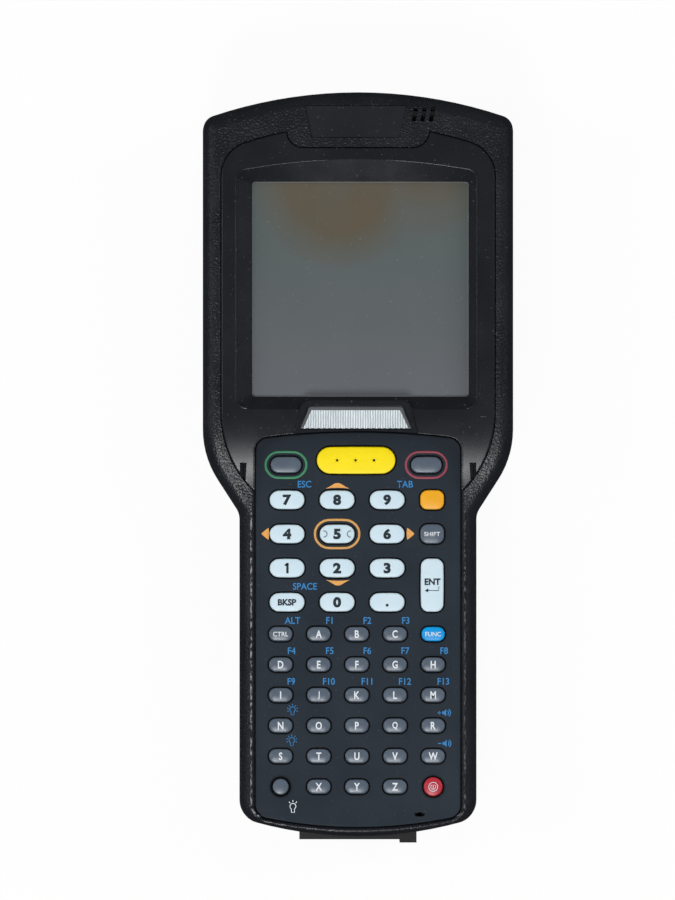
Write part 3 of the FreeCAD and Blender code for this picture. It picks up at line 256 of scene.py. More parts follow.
def ink(name, colour):
    """Printed ink with slightly uneven cover."""
    paint = Paint(name, colour, 0.5)
    wear_and_highlight = paint.band(paint.noise(0.0008, 3), 0.45, 0.75, 0.0, 0.35)
    paint.colour(paint.mix(wear_and_highlight, colour, shade(colour, 0.6, 0.01)))
    paint.rough(paint.noise(0.002, 2), 0.42, 0.58)
    return paint.material


def bare_metal(name, colour, roughness):
    """Uncoated metal with fine streaks."""
    paint = Paint(name, colour, roughness, Metallic=1.0)
    streaks = paint.band(paint.noise(0.0006, 3, 0.5, (1, 12, 1)), 0.3, 0.7)
    paint.colour(paint.mix(streaks, colour, shade(colour, 0.8)))
    paint.rough(streaks, roughness * 0.8, roughness * 1.25, 0.0, 1.0)
    return paint.material


# Painted reflection on the screen, as brownish clouds: middle, radius of the full tone, radius where it ends
SCREEN_REFLECTIONS = (((-0.005, 0.074, 0.033), 0.013, 0.023), ((0.017, 0.079, 0.033), 0.006, 0.02))


def matt_screen(name):
    """Anti-glare touch film: cool grey, lighter and bluer toward the bottom, with a painted reflection as
    soft brownish clouds toward the top, fine grain.
    """
    paint = Paint(name, (0.13, 0.15, 0.155), 0.32, Specular_IOR_Level=0.4)
    # Painted reflection: two soft brownish clouds toward the top of the screen, broken up a little by noise
    both = paint.add("ShaderNodeMath", operation="MAXIMUM")
    for socket, (middle, near, far) in zip(both.inputs, SCREEN_REFLECTIONS):
        away = paint.add("ShaderNodeVectorMath", operation="DISTANCE")
        away.inputs[1].default_value = middle
        paint.link(paint.place, away.inputs[0])
        paint.link(paint.band(away.outputs["Value"], near, far, 1.0, 0.0), socket)
    painted_reflection = paint.times(both.outputs[0], paint.band(paint.noise(0.02, 1), 0.25, 0.6, 0.6, 1.0))
    parts = paint.add("ShaderNodeSeparateXYZ")
    paint.link(paint.place, parts.inputs[0])
    lower = paint.band(parts.outputs["Y"], 0.02, 0.06)
    base = paint.mix(lower, (0.112, 0.12, 0.133), (0.088, 0.107, 0.104))
    base = paint.mix(painted_reflection, base, (0.098, 0.08, 0.052))
    smear = paint.band(paint.noise(0.02, 3, 0.5, (1, 0.4, 1)), 0.4, 0.7, 0.0, 0.2)
    base = paint.mix(smear, base, (0.118, 0.127, 0.132))
    paint.colour(paint.mix(paint.specks(0.0006, 0.82, 0.84, 0.2), base, (0.3, 0.3, 0.3)))
    paint.rough(paint.noise(0.02, 3), 0.3, 0.42)
    paint.bump(paint.noise(0.00025, 1), 0.000004, 0.5)
    return paint.material


def tinted_window(name):
    """Dark red window, nearly black, with a faint haze."""
    red_black = (0.03, 0.003, 0.005)
    paint = Paint(name, red_black, 0.08, Coat_Weight=1.0, Coat_Roughness=0.05)
    haze = paint.band(paint.noise(0.01, 3), 0.4, 0.8, 0.0, 0.4)
    paint.colour(paint.mix(haze, red_black, (0.06, 0.012, 0.014)))
    return paint.material


housing = grained_plastic("housing_black", (0.0075, 0.0085, 0.0115), 0.00055, 0.00018)
bezel_black = smooth_plastic("bezel_black", (0.009, 0.0102, 0.0132), 0.26)
# Painted highlight on the grip's two crests: pale specks, much paler on the left than on the right
rail_left_highlight = speckled_highlight_edge("rail_left_highlight", 0.85)
rail_right_highlight = speckled_highlight_edge("rail_right_highlight", 0.3)
badge_black = smooth_plastic("badge_black", (0.012, 0.0125, 0.015), 0.3, 0.1, 0.1)
panel_grey = smooth_plastic("panel_grey", (0.013, 0.0195, 0.028), 0.55, 0.06, 0.05, 0.25)
plug_black = smooth_plastic("plug_black", (0.01, 0.01, 0.011), 0.5)
screen_film = matt_screen("screen_film")
white_cap = key_plastic("white_cap", (0.6, 0.735, 0.81), 0.45, 0.1, (0.54, 0.69, 0.77))
grey_cap = key_plastic("grey_cap", (0.088, 0.112, 0.148), 0.33, 0.0, (0.11, 0.14, 0.18))
yellow_cap = key_plastic("yellow_cap", (0.94, 0.74, 0.0), 0.5, 0.05, (0.88, 0.68, 0.0))
amber_cap = key_plastic("amber_cap", (0.88, 0.41, 0.018), 0.42, 0.05)
blue_cap = key_plastic("blue_cap", (0.0, 0.32, 0.76), 0.5, 0.0)
red_cap = key_plastic("red_cap", (0.44, 0.028, 0.045), 0.35, 0.05)
rubber = grained_plastic("rubber_dark", (0.02, 0.02, 0.022), 0.0005, 0.00003, 0.1)
board = smooth_plastic("board_green", (0.01, 0.09, 0.035), 0.4, 0.05, 0.0)
steel = bare_metal("steel", (0.55, 0.56, 0.57), 0.3)
alloy = bare_metal("light_alloy", (0.6, 0.61, 0.62), 0.45)
gold = bare_metal("contact_gold", (0.8, 0.58, 0.2), 0.25)
wrap = smooth_plastic("cell_wrap", (0.03, 0.05, 0.12), 0.3, 0.05, 0.0)
window_dark = tinted_window("window_dark")
smoke = smooth_plastic("lens_smoke", (0.09, 0.095, 0.1), 0.18, 0.1, 0.05, 0.6)
ribbed_white = ribbed_plastic("ribbed_white")
blue_ink = ink("blue_ink", (0.028, 0.21, 0.5))
orange_ink = ink("orange_ink", (0.76, 0.36, 0.09))
white_ink = ink("white_ink", (0.72, 0.76, 0.8))
dark_ink = ink("dark_ink", (0.008, 0.017, 0.028))
green_ring = ink("green_ring", (0.05, 0.24, 0.115))
red_ring = ink("red_ring", (0.29, 0.055, 0.08))
tan_ring = ink("tan_ring", (0.66, 0.34, 0.1))
film_edge = ink("film_edge", (0.17, 0.18, 0.185))
# Near-black plastic for the painted shade round every key, and for the dark dots on the scan key
painted_shade_and_dot_black = smooth_plastic("painted_shade_and_dot_black", (0.004, 0.004, 0.004), 0.8, 0.0, 0.0, 0.1)

node_paint = {
    "front_housing": housing, "rear_housing": housing, "battery_case": housing,
    "display_bezel": bezel_black, "badge_plate": badge_black, "keypad_panel": panel_grey,
    "touch_panel": screen_film, "lcd_module": plug_black, "chassis": alloy,
    "main_board": board, "keypad_board": board, "shield_cans": steel, "card_socket": steel,
    "backup_cell": steel, "antenna": gold, "speaker": plug_black, "microphone": plug_black,
    "scan_engine": plug_black, "scan_window": window_dark, "keypad_mat": rubber,
    "key_domes": steel, "keypad_screws": steel, "housing_screws": steel, "strap_pin": steel,
    "housing_seal": rubber, "battery_cells": wrap, "battery_latch": plug_black,
    "latch_spring": steel, "battery_contacts": gold, "io_connector": plug_black, "io_contacts": gold,
    "light_bar": smoke,
}
for name, material in node_paint.items():
    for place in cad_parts[name].material_slots:
        place.material = material


# Pieces made here
def place_piece(name, mesh, material, body):
    """Put a mesh in the scene as a piece that rides on a body and has a colour slot."""
    mesh.materials.append(material)
    piece = bpy.data.objects.new(name, mesh)
    scene.collection.objects.link(piece)
    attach(piece, body)
    return piece


def new_piece(name, verts, faces, material, body, slot, smooth=True):
    """A piece from vertices and faces."""
    mesh = bpy.data.meshes.new(name)
    mesh.from_pydata(verts, [], faces)
    mesh.validate()
    if smooth:
        mesh.shade_smooth()
    return place_piece(name, mesh, material, body)


def join(parts):
    """Several lots of vertices and faces as one."""
    verts, faces = [], []
    for more_verts, more_faces in parts:
        start = len(verts)
        verts += more_verts
        faces += [tuple(index + start for index in face) for face in more_faces]
    return verts, faces


def point_round(x, y, reach, angle):
    """The point that lies a reach away from x, y, at an angle in degrees."""
    turn = math.radians(angle)
    return x + reach * math.cos(turn), y + reach * math.sin(turn)


def circle_points(x, y, radius, start, end, count):
    """Points along an arc, both ends included; angles in degrees."""
    return [point_round(x, y, radius, start + (end - start) * n / (count - 1)) for n in range(count)]


def line_points(start, end, steps):
    """Evenly spaced points from start up to, but not at, end."""
    run_x, run_y = end[0] - start[0], end[1] - start[1]
    return [(start[0] + run_x * n / steps, start[1] + run_y * n / steps) for n in range(steps)]


def bulged(along, half_along, across, bulge):
    """Move a coordinate outward by up to bulge, most at the middle of its side."""
    if abs(along) >= half_along:
        return across
    return across + math.copysign(bulge, across) * (1 - (along / half_along) ** 2)


def cushion_ring(half_x, half_y, radius, bulge):
    """Points round a rounded rectangle whose sides bulge outward a little, in any one unit."""
    flat_x, flat_y = half_x - bulge, half_y - bulge
    radius = min(radius, flat_x * 0.999, flat_y * 0.999)
    corners = []
    for quarter, (side_x, side_y) in enumerate(((1, -1), (1, 1), (-1, 1), (-1, -1))):
        start = quarter * 90 - 90
        corners += circle_points(side_x * (flat_x - radius), side_y * (flat_y - radius), radius,
                                 start, start + 90, 13)
    points = []
    for point, after in zip(corners, corners[1:] + corners[:1]):
        steps = max(1, int(math.dist(point, after) / (half_y * 0.2)))
        points += line_points(point, after, steps)
    return [(bulged(y, flat_y, x, bulge), bulged(x, flat_x, y, bulge)) for x, y in points]


# How far in from the edge each ring of a cap's shoulder lies, and the shoulder's round
SHOULDER = (0.0, 0.02, 0.07, 0.14, 0.23, 0.34)
SHOULDER_ROUND = SHOULDER[-1] * MM
SKIRT = 1.7 * MM
CROWN_RINGS = 8
CROWN_SHARE = 0.97


def cap_drop(inset, small, dome):
    """How far a cap's surface lies below its crown, at a distance in from its edge."""
    over = max(SHOULDER_ROUND - inset, 0.0)
    shoulder = SHOULDER_ROUND - math.sqrt(SHOULDER_ROUND ** 2 - over ** 2)
    return shoulder + dome * (1 - inset / small) ** 2


def cap_mesh(x, y, half_x, half_y, radius, bulge, dome):
    """Vertices and faces of one crowned key cap."""
    small = min(half_x, half_y)
    insets = [step * MM for step in SHOULDER]
    inner = small * CROWN_SHARE - SHOULDER_ROUND
    insets += [SHOULDER_ROUND + inner * (n + 1) / CROWN_RINGS for n in range(CROWN_RINGS)]
    ring = cushion_ring(half_x, half_y, radius, bulge)
    size = len(ring)
    verts = [(x + px, y + py, key_top - SKIRT) for px, py in ring]
    for inset in insets:
        scale_x, scale_y = (half_x - inset) / half_x, (half_y - inset) / half_y
        height = key_top - cap_drop(inset, small, dome)
        verts += [(x + px * scale_x, y + py * scale_y, height) for px, py in ring]
    faces = []
    for level in range(len(insets)):
        for n in range(size):
            after = (n + 1) % size
            low, high = level * size, (level + 1) * size
            faces.append((low + n, low + after, high + after, high + n))
    verts.append((x, y, key_top))
    top = len(insets) * size
    faces += [(top + n, top + (n + 1) % size, len(verts) - 1) for n in range(size)]
    return verts, faces


# Key caps: material, slot, corner radius, bulge of the sides and dome, in millimetres
KEY_LOOK = {"scan_key": (yellow_cap, "key_yellow", 3.3, 0.12, 0.16),
            "key_orange": (amber_cap, "key_amber", 1.5, 0.15, 0.3),
            "key_func": (blue_cap, "key_blue", 1.5, 0.12, 0.3),
            "key_power": (red_cap, "key_crimson", 2.4, 0.0, 0.3),
            "key_light": (grey_cap, "key_grey", 2.0, 0.0, 0.25),
            "key_shift": (grey_cap, "key_grey", 1.6, 0.15, 0.35),
            "key_ctrl": (grey_cap, "key_grey", 1.5, 0.12, 0.35),
            "key_green": (grey_cap, "key_grey", 1.8, 0.12, 0.3),
            "key_red": (grey_cap, "key_grey", 1.8, 0.12, 0.3),
            "key_enter": (white_cap, "key_white", 1.8, 0.12, 0.22)}
NUMBER_KEYS = ["key_" + digit for digit in "789456123"] + ["key_backspace", "key_0", "key_point"]
for name in NUMBER_KEYS:
    KEY_LOOK[name] = (white_cap, "key_white", 1.95, 0.2, 0.22)
LETTER_ROWS = {"keys_abc": "ABC", "keys_d_h": "DEFGH", "keys_i_m": "IJKLM", "keys_n_r": "NOPQR",
               "keys_s_w": "STUVW", "keys_xyz": "XYZ"}
for name in LETTER_ROWS:
    KEY_LOOK[name] = (grey_cap, "key_grey", 1.5, 0.12, 0.35)
ROUND_KEYS = ("key_light", "key_power")


def key_places(node):
    """Middle and half sizes of each cap in a key node, from the box of its flange."""
    low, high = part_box(node)
    half_y = (high.y - low.y) / 2 - FLANGE
    if node not in LETTER_ROWS:
        return [((low.x + high.x) / 2, (low.y + high.y) / 2, (high.x - low.x) / 2 - FLANGE, half_y)]
    ctrl_low, ctrl_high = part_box("key_ctrl")
    half_x = (ctrl_high.x - ctrl_low.x) / 2 - FLANGE
    first, last = low.x + half_x + FLANGE, high.x - half_x - FLANGE
    count = len(LETTER_ROWS[node])
    pitch = (last - first) / (count - 1)
    return [(first + pitch * n, (low.y + high.y) / 2, half_x, half_y) for n in range(count)]


def key_middle(node):
    """Middle of a single key, in millimetres."""
    place, = key_places(node)
    return place[0] / MM, place[1] / MM


for name, (material, slot, radius, bulge, dome) in KEY_LOOK.items():
    parts = [cap_mesh(*place, radius * MM, bulge * MM, dome * MM) for place in key_places(name)]
    cap = new_piece(name + "_cap", *join(parts), material, name + "_body", slot)
    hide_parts(name)


# Printed words, digits and letters
def words(name, entries, material, body, height, bold):
    """Join several texts of print into one piece that lies flat at a height.

    Each entry is text, x, y, cap height and width factor.
    """
    built = bmesh.new()
    for text, x, y, high, wide in entries:
        curve = bpy.data.curves.new("text", "FONT")
        curve.body = text
        curve.size = 1.0
        curve.offset = bold
        curve.resolution_u = 4
        holder = bpy.data.objects.new("text", curve)
        scene.collection.objects.link(holder)
        bpy.context.view_layer.update()
        graph = bpy.context.evaluated_depsgraph_get()
        mesh = bpy.data.meshes.new_from_object(holder.evaluated_get(graph))
        bpy.data.objects.remove(holder)
        xs = [v.co.x for v in mesh.vertices]
        ys = [v.co.y for v in mesh.vertices]
        scale = high / (max(ys) - min(ys))
        mid_x, mid_y = (max(xs) + min(xs)) / 2, (max(ys) + min(ys)) / 2
        for vert in mesh.vertices:
            px = (vert.co.x - mid_x) * scale * wide + x
            py = (vert.co.y - mid_y) * scale + y
            vert.co = (px, py, height)
        built.from_mesh(mesh)
        bpy.data.meshes.remove(mesh)
    mesh = bpy.data.meshes.new(name)
    built.to_mesh(mesh)
    built.free()
    return place_piece(name, mesh, material, body)


# Print on single keys: text, offset from the key's middle, height, width factor, ink and boldness
DIGIT_PRINT = (0, 0, 2.72, 1.14, dark_ink, 0.055)
KEY_PRINT = {"key_" + digit: (digit, *DIGIT_PRINT) for digit in "78945623"}
KEY_PRINT["key_backspace"] = ("BKSP", 0, 0, 1.7, 1.0, dark_ink, 0.042)
KEY_PRINT["key_0"] = ("0", *DIGIT_PRINT)
KEY_PRINT["key_point"] = (".", 0, -0.75, 0.75, 1.0, dark_ink, 0.03)
KEY_PRINT["key_enter"] = ("ENT", 0.1, 0.9, 1.7, 0.97, dark_ink, 0.036)
KEY_PRINT["key_shift"] = ("SHIFT", 0, 0, 1.1, 1.1, white_ink, 0.014)
KEY_PRINT["key_ctrl"] = ("CTRL", 0, 0, 1.2, 1.0, white_ink, 0.014)
KEY_PRINT["key_func"] = ("FUNC", 0, 0, 1.15, 1.0, white_ink, 0.014)
for name, (text, dx, dy, high, wide, material, bold) in KEY_PRINT.items():
    x, y = key_middle(name)
    entry = (text, (x + dx) * MM, (y + dy) * MM, high * MM, wide)
    words(name + "_print", [entry], material, name + "_body", on_crown, bold)
for name, letters in LETTER_ROWS.items():
    entries = [(letter, place[0], place[1], 2.0 * MM, 0.78)
               for letter, place in zip(letters, key_places(name))]
    words(name + "_print", entries, white_ink, name + "_body", on_crown, 0.026)

# Legends on the panel, row by row: the row's y, then each word and its x, in millimetres
legend_rows = [(-4.15, [("ESC", -13.8), ("TAB", 12.1)]), (-30.5, [("SPACE", -13.7)]),
               (-39.3, [("ALT", -16.9), ("F1", -7.4), ("F2", 2.4), ("F3", 12.3)]),
               (-47.1, [("F4", -17.1), ("F5", -7.3), ("F6", 2.4), ("F7", 12.2), ("F8", 22.2)]),
               (-55.0, [("F9", -17.2), ("F10", -7.5), ("F11", 2.3), ("F12", 12.1), ("F13", 22.0)])]
entries = [(text, x * MM, y * MM, 1.75 * MM, 0.92) for y, row in legend_rows for text, x in row]
words("panel_legends", entries, blue_ink, ROOT, on_panel, 0.012)


# Printed line work: icons, arrows and marks
def ribbon(points, wide, closed=False):
    """A flat line of even width along points, as vertices and faces."""
    verts, faces = [], []
    count = len(points)
    for n, (x, y) in enumerate(points):
        before = points[n - 1] if n or closed else points[0]
        after = points[(n + 1) % count] if n < count - 1 or closed else points[-1]
        dx, dy = after[0] - before[0], after[1] - before[1]
        long = math.hypot(dx, dy) or 1.0
        nx, ny = -dy / long * wide / 2, dx / long * wide / 2
        verts += [(x + nx, y + ny), (x - nx, y - ny)]
    for n in range(count if closed else count - 1):
        after = (n + 1) % count
        faces.append((2 * n, 2 * n + 1, 2 * after + 1, 2 * after))
    return verts, faces


def plate(points):
    """A flat filled shape, drawn as a fan round its middle."""
    x = sum(p[0] for p in points) / len(points)
    y = sum(p[1] for p in points) / len(points)
    count = len(points)
    return points + [(x, y)], [(n, (n + 1) % count, count) for n in range(count)]


def lay_flat(name, shapes, material, body, slot, height):
    """Lay flat shapes, given in millimetres, at a height as one piece, used for print and for painted shade.
    """
    verts, faces = join(shapes)
    placed = [(x * MM, y * MM, height) for x, y in verts]
    return new_piece(name, placed, faces, material, body, slot, smooth=False)


def bulb(x, y, size, rays, line=0.2):
    """A small lamp with rays at the given angles, as line work."""
    glass_y = y + size * 0.12
    foot_half, foot_high, foot_low = size * 0.13, y - size * 0.08, y - size * 0.36
    foot = [(x - foot_half, foot_high), (x - foot_half, foot_low),
            (x + foot_half, foot_low), (x + foot_half, foot_high)]
    shapes = [ribbon(circle_points(x, glass_y, size * 0.24, -55, 235, 18), line), ribbon(foot, line)]
    for angle in rays:
        ends = [point_round(x, glass_y, size * reach, angle) for reach in (0.34, 0.5)]
        shapes.append(ribbon(ends, line))
    return shapes


def loudspeaker(x, y, plus):
    """A loudspeaker with two waves and a plus or minus before it."""
    line, grow = 0.2, 1.25
    horn = [(-0.55, -0.28), (-0.2, -0.28), (0.25, -0.75), (0.25, 0.75), (-0.2, 0.28), (-0.55, 0.28)]
    shapes = [plate(horn), ribbon(circle_points(0.2, 0, 0.55, -50, 50, 9), line),
              ribbon(circle_points(0.2, 0, 0.95, -50, 50, 11), line),
              ribbon([(-1.5, 0), (-0.8, 0)], line)]
    if plus:
        shapes.append(ribbon([(-1.15, -0.35), (-1.15, 0.35)], line))
    return [([(x + px * grow, y + py * grow) for px, py in verts], faces) for verts, faces in shapes]


ALL_ROUND = (-20, 15, 50, 90, 130, 165, 200)
UPWARD = (90, 50, 130)
icons = bulb(-16.9, -62.6, 2.9, ALL_ROUND, 0.16) + bulb(-17.1, -70.5, 2.9, ALL_ROUND, 0.16)
icons += loudspeaker(22.4, -63.1, True) + loudspeaker(22.5, -71.0, False)
lay_flat("panel_icons", icons, blue_ink, ROOT, "panel_grey", on_panel)
lay_flat("lamp_icon", bulb(-16.8, -87.6, 3.2, UPWARD), white_ink, ROOT, "panel_grey", on_panel)

# Arrows round the middle key; each outline has its flat side at the origin
arrow_up = [(-3.1, 0.0), (-2.2, 0.42), (-1.25, 1.0), (-0.7, 1.32), (0.0, 1.45), (0.7, 1.32), (1.25, 1.0),
            (2.2, 0.42), (3.1, 0.0), (1.6, 0.16), (0.0, 0.22), (-1.6, 0.16)]
arrow_left = [(0.0, 1.55), (-0.55, 1.15), (-1.2, 0.62), (-1.6, 0.28), (-1.78, 0.0), (-1.6, -0.28),
              (-1.2, -0.62), (-0.55, -1.15), (0.0, -1.55), (0.14, -0.8), (0.2, 0.0), (0.14, 0.8)]
arrows = [plate([(x - 5.3, y - 5.3) for x, y in arrow_up]),
          plate([(x - 5.2, -y - 28.85) for x, y in arrow_up]),
          plate([(x - 23.1, y - 16.95) for x, y in arrow_left]),
          plate([(-x + 12.7, y - 16.95) for x, y in arrow_left])]
lay_flat("panel_arrows", arrows, orange_ink, ROOT, "panel_grey", on_panel)

# The figure one, as two strokes
x, y = key_middle("key_1")
strokes = [ribbon([(x + 0.1, y - 1.32), (x + 0.1, y + 1.32)], 0.6),
           ribbon([(x + 0.25, y + 1.1), (x - 0.62, y + 0.7)], 0.46)]
lay_flat("key_1_print", strokes, dark_ink, "key_1_body", "key_white", on_crown)

# Two thin arcs beside the figure five
x, y = key_middle("key_5")
arcs = [ribbon(circle_points(x - 3.4, y, 0.8, -100, 100, 13), 0.17),
        ribbon(circle_points(x + 3.4, y, 0.8, 80, 280, 13), 0.17)]
lay_flat("key_5_marks", arcs, dark_ink, "key_5_body", "key_white", on_crown)

# Return arrow on the enter key
x, y = key_middle("key_enter")
arrow_y = y - 1.35
turn = [ribbon([(x + 1.7, y - 0.35), (x + 1.7, arrow_y), (x - 1.2, arrow_y)], 0.18),
        plate([(x - 1.9, arrow_y), (x - 1.0, arrow_y + 0.5), (x - 1.0, arrow_y - 0.5)])]
lay_flat("key_enter_arrow", turn, dark_ink, "key_enter_body", "key_white", on_crown)

# Power sign in a ring
x, y = key_middle("key_power")
power_sign = [ribbon(circle_points(x, y, 1.15, 0, 360, 28), 0.16),
              ribbon([(x, y - 0.55), (x, y + 0.55)], 0.16),
              ribbon(circle_points(x, y, 0.62, 125, 415, 22), 0.14)]
lay_flat("key_power_sign", power_sign, white_ink, "key_power_body", "key_crimson", on_crown)


# Raised rings and beads
def bead(name, path, wide, rise, material, slot, closed=True):
    """A half-round bead along a path of points; wide is its half width, rise its height."""
    root = -0.08 * MM
    verts, faces = [], []
    profile = [(math.cos(math.radians(a)) * wide, math.sin(math.radians(a)) * rise)
               for a in range(180, -1, -30)]
    profile = [(-wide, root)] + profile + [(wide, root)]
    count, size = len(path), len(profile)
    for n, (x, y, z) in enumerate(path):
        before = path[n - 1] if n or closed else path[0]
        after = path[(n + 1) % count] if n < count - 1 or closed else path[-1]
        dx, dy = after[0] - before[0], after[1] - before[1]
        long = math.hypot(dx, dy) or 1.0
        for across, height in profile:
            verts.append((x - dy / long * across, y + dx / long * across, z + height))
    for n in range(count if closed else count - 1):
        after = (n + 1) % count
        for k in range(size - 1):
            faces.append((n * size + k, n * size + k + 1, after * size + k + 1, after * size + k))
    return new_piece(name, verts, faces, material, ROOT, slot)


# Rings round keys: key, half width, half height, corner radius, bulge, then the line's half width,
# rise and material; in millimetres
RINGS = {"green_key_ring": ("key_green", 5.25, 3.35, 2.9, 0.25, 0.3, 0.14, green_ring),
         "red_key_ring": ("key_red", 5.25, 3.35, 2.9, 0.25, 0.3, 0.14, red_ring),
         "centre_key_ring": ("key_5", 5.7, 3.65, 3.1, 0.3, 0.3, 0.14, tan_ring),
         "lamp_key_ring": ("key_light", 2.85, 2.85, 2.84, 0.0, 0.16, 0.12, panel_grey),
         "power_key_ring": ("key_power", 3.05, 3.05, 3.04, 0.0, 0.14, 0.1, panel_grey)}
for name, (node, half_x, half_y, radius, bulge, wide, rise, material) in RINGS.items():
    x, y = key_middle(node)
    ring = cushion_ring(half_x * MM, half_y * MM, radius * MM, bulge * MM)
    path = [(x * MM + px, y * MM + py, panel_top) for px, py in ring]
    bead(name, path, wide * MM, rise * MM, material, "panel_grey")

# Painted shade on the panel round every key, as a dark band from near to far off the cap, in millimetres
NARROW_BAND = (0.12, 0.42)
WIDE_BAND = (0.2, 0.75)


def hole_shade():
    """Painted shade: a dark band round each key, where the edge of its hole lies in shadow, wider round the
    two round keys.
    """
    shapes = []
    for node, look in KEY_LOOK.items():
        near, far = WIDE_BAND if node in ROUND_KEYS else NARROW_BAND
        reach = (near + far) / 2
        for x, y, half_x, half_y in key_places(node):
            ring = cushion_ring(half_x / MM + reach, half_y / MM + reach, look[2] + reach, look[3])
            shapes.append(ribbon([(x / MM + px, y / MM + py) for px, py in ring], far - near, closed=True))
    return shapes


# The painted shade round the keys, laid just over the panel
lay_flat("key_hole_shade", hole_shade(), painted_shade_and_dot_black, ROOT, "panel_grey", panel_top + THIN_LIFT)

# Three pips on the scan key, each with five specks round it
PIP_PLACES = (-5.4, -0.65, 4.1)
PIP_RADIUS, SPECK_RADIUS, SPECK_AWAY = 0.33, 0.07, 0.62
SPECK_ANGLES = (20, 95, 160, 230, 300)
pips = []
pip_y = key_middle("scan_key")[1]
for x in PIP_PLACES:
    pips.append(plate(circle_points(x, pip_y, PIP_RADIUS, 0, 345, 24)))
    for angle in SPECK_ANGLES:
        spot = point_round(x, pip_y, SPECK_AWAY, angle)
        pips.append(plate(circle_points(*spot, SPECK_RADIUS, 0, 315, 8)))
lay_flat("scan_key_pits", pips, painted_shade_and_dot_black, "scan_key_body", "key_yellow", on_crown)

# Light bar: its ribs inside the smoky border, and the frame's raised inner edge
RIB_COUNT = 38
RIB_RISE = 0.11 * MM
RIB_STEPS = 6
RIB_STAGGER = 0.12 * MM
LENS_EDGE = 0.9 * MM
LENS_FOOT = 0.1 * MM
LENS_TAPER = 2.1 * MM
LENS_LIFT = 0.02 * MM
RIM_TAPER = 2.2 * MM
RIM_CORNER = 1.0 * MM
RIM_AWAY = 0.18 * MM
RIM_LIFT = 0.05 * MM


def lens_ribs():
    """Rounded ribs side by side across the tapered window of the light bar."""
    low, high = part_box("light_bar")
    left_low, right_low = low.x + LENS_EDGE, high.x - LENS_EDGE
    verts, faces = [], []
    row = RIB_STEPS + 1
    for rib in range(RIB_COUNT):
        stagger = RIB_STAGGER if rib % 2 else 0.0
        for y, taper in ((low.y + LENS_FOOT + stagger, 0.0), (high.y - LENS_EDGE, LENS_TAPER)):
            wide = (right_low - left_low - 2 * taper) / RIB_COUNT
            for n in range(row):
                share = n / RIB_STEPS
                verts.append((left_low + taper + wide * (rib + share), y,
                              bar_top + LENS_LIFT + RIB_RISE * math.sin(math.pi * share)))
        start = rib * 2 * row
        for n in range(RIB_STEPS):
            faces.append((start + n, start + n + 1, start + row + n + 1, start + row + n))
    return verts, faces


def lens_rim():
    """Path of the frame's inner edge round the light bar, open at the bottom."""
    low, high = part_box("light_bar")
    left = low.x - RIM_AWAY
    points = line_points((left, low.y), (left + RIM_TAPER, high.y - RIM_CORNER), 6)
    points += circle_points(left + RIM_TAPER + RIM_CORNER, high.y + RIM_AWAY - RIM_CORNER, RIM_CORNER,
                            165, 90, 7)
    points += [(low.x + high.x - x, y) for x, y in reversed(points)]
    return [(x, y, bar_top + RIM_LIFT) for x, y in points]


new_piece("light_bar_ribs", *lens_ribs(), ribbed_white, ROOT, "lens_silver")

# Upper edge of the display recess, in millimetres
RECESS_LEFT, RECESS_RIGHT, RECESS_LOW, RECESS_HIGH = -31.4, 30.7, 15.4, 77.1
RECESS_CORNER, RECESS_ARCH, RECESS_STEPS = 2.8, 2.5, 24
RECESS_SINK = 0.2 * MM


def recess_rim():
    """Path of the crisp upper edge of the recess round the screen."""
    left, right = RECESS_LEFT + RECESS_CORNER, RECESS_RIGHT - RECESS_CORNER
    low, high = RECESS_LOW + RECESS_CORNER, RECESS_HIGH - RECESS_CORNER
    points = circle_points(left, low, RECESS_CORNER, 270, 180, 8)
    points += line_points((RECESS_LEFT, RECESS_LOW), (RECESS_LEFT, RECESS_HIGH), 8)[2:7]
    points += circle_points(left, high, RECESS_CORNER, 180, 100, 8)
    for n in range(1, RECESS_STEPS):
        share = n / RECESS_STEPS
        points.append((left + (right - left) * share, RECESS_HIGH + RECESS_ARCH * 4 * share * (1 - share)))
    points += circle_points(right, high, RECESS_CORNER, 80, 0, 8)
    points += line_points((RECESS_RIGHT, RECESS_HIGH), (RECESS_RIGHT, RECESS_LOW), 8)[2:7]
    points += circle_points(right, low, RECESS_CORNER, 0, -90, 8)
    return [(x * MM, y * MM, head_top - RECESS_SINK) for x, y in points]


# Crest of the housing beside the keypad panel, which carries a painted speckled highlight, in millimetres
RAIL_ACROSS, RAIL_HIGH, RAIL_LOW = 27.55, -6.0, -86.5
RAIL_CORNER = 3.6
RAIL_SINK = 0.02 * MM


def grip_rail(side):
    """Path of the crest on one side: 1 for the right, -1 for the left."""
    across = RAIL_ACROSS * side
    start, end = (0, -70) if side > 0 else (180, 250)
    points = line_points((across, RAIL_HIGH), (across, RAIL_LOW), 40)
    points += circle_points(across - RAIL_CORNER * side, RAIL_LOW, RAIL_CORNER, start, end, 12)
    return [(x * MM, y * MM, grip_top - RAIL_SINK) for x, y in points]


bead("recess_rim", recess_rim(), 0.3 * MM, 0.19 * MM, bezel_black, "bezel_black", closed=False)
# The two crests, each with its painted speckled highlight
bead("grip_rail_left", grip_rail(-1), 0.24 * MM, 0.14 * MM, rail_left_highlight, "housing_black", closed=False)
bead("grip_rail_right", grip_rail(1), 0.24 * MM, 0.14 * MM, rail_right_highlight, "housing_black", closed=False)
bead("light_bar_rim", lens_rim(), 0.14 * MM, 0.09 * MM, badge_black, "bezel_black", closed=False)

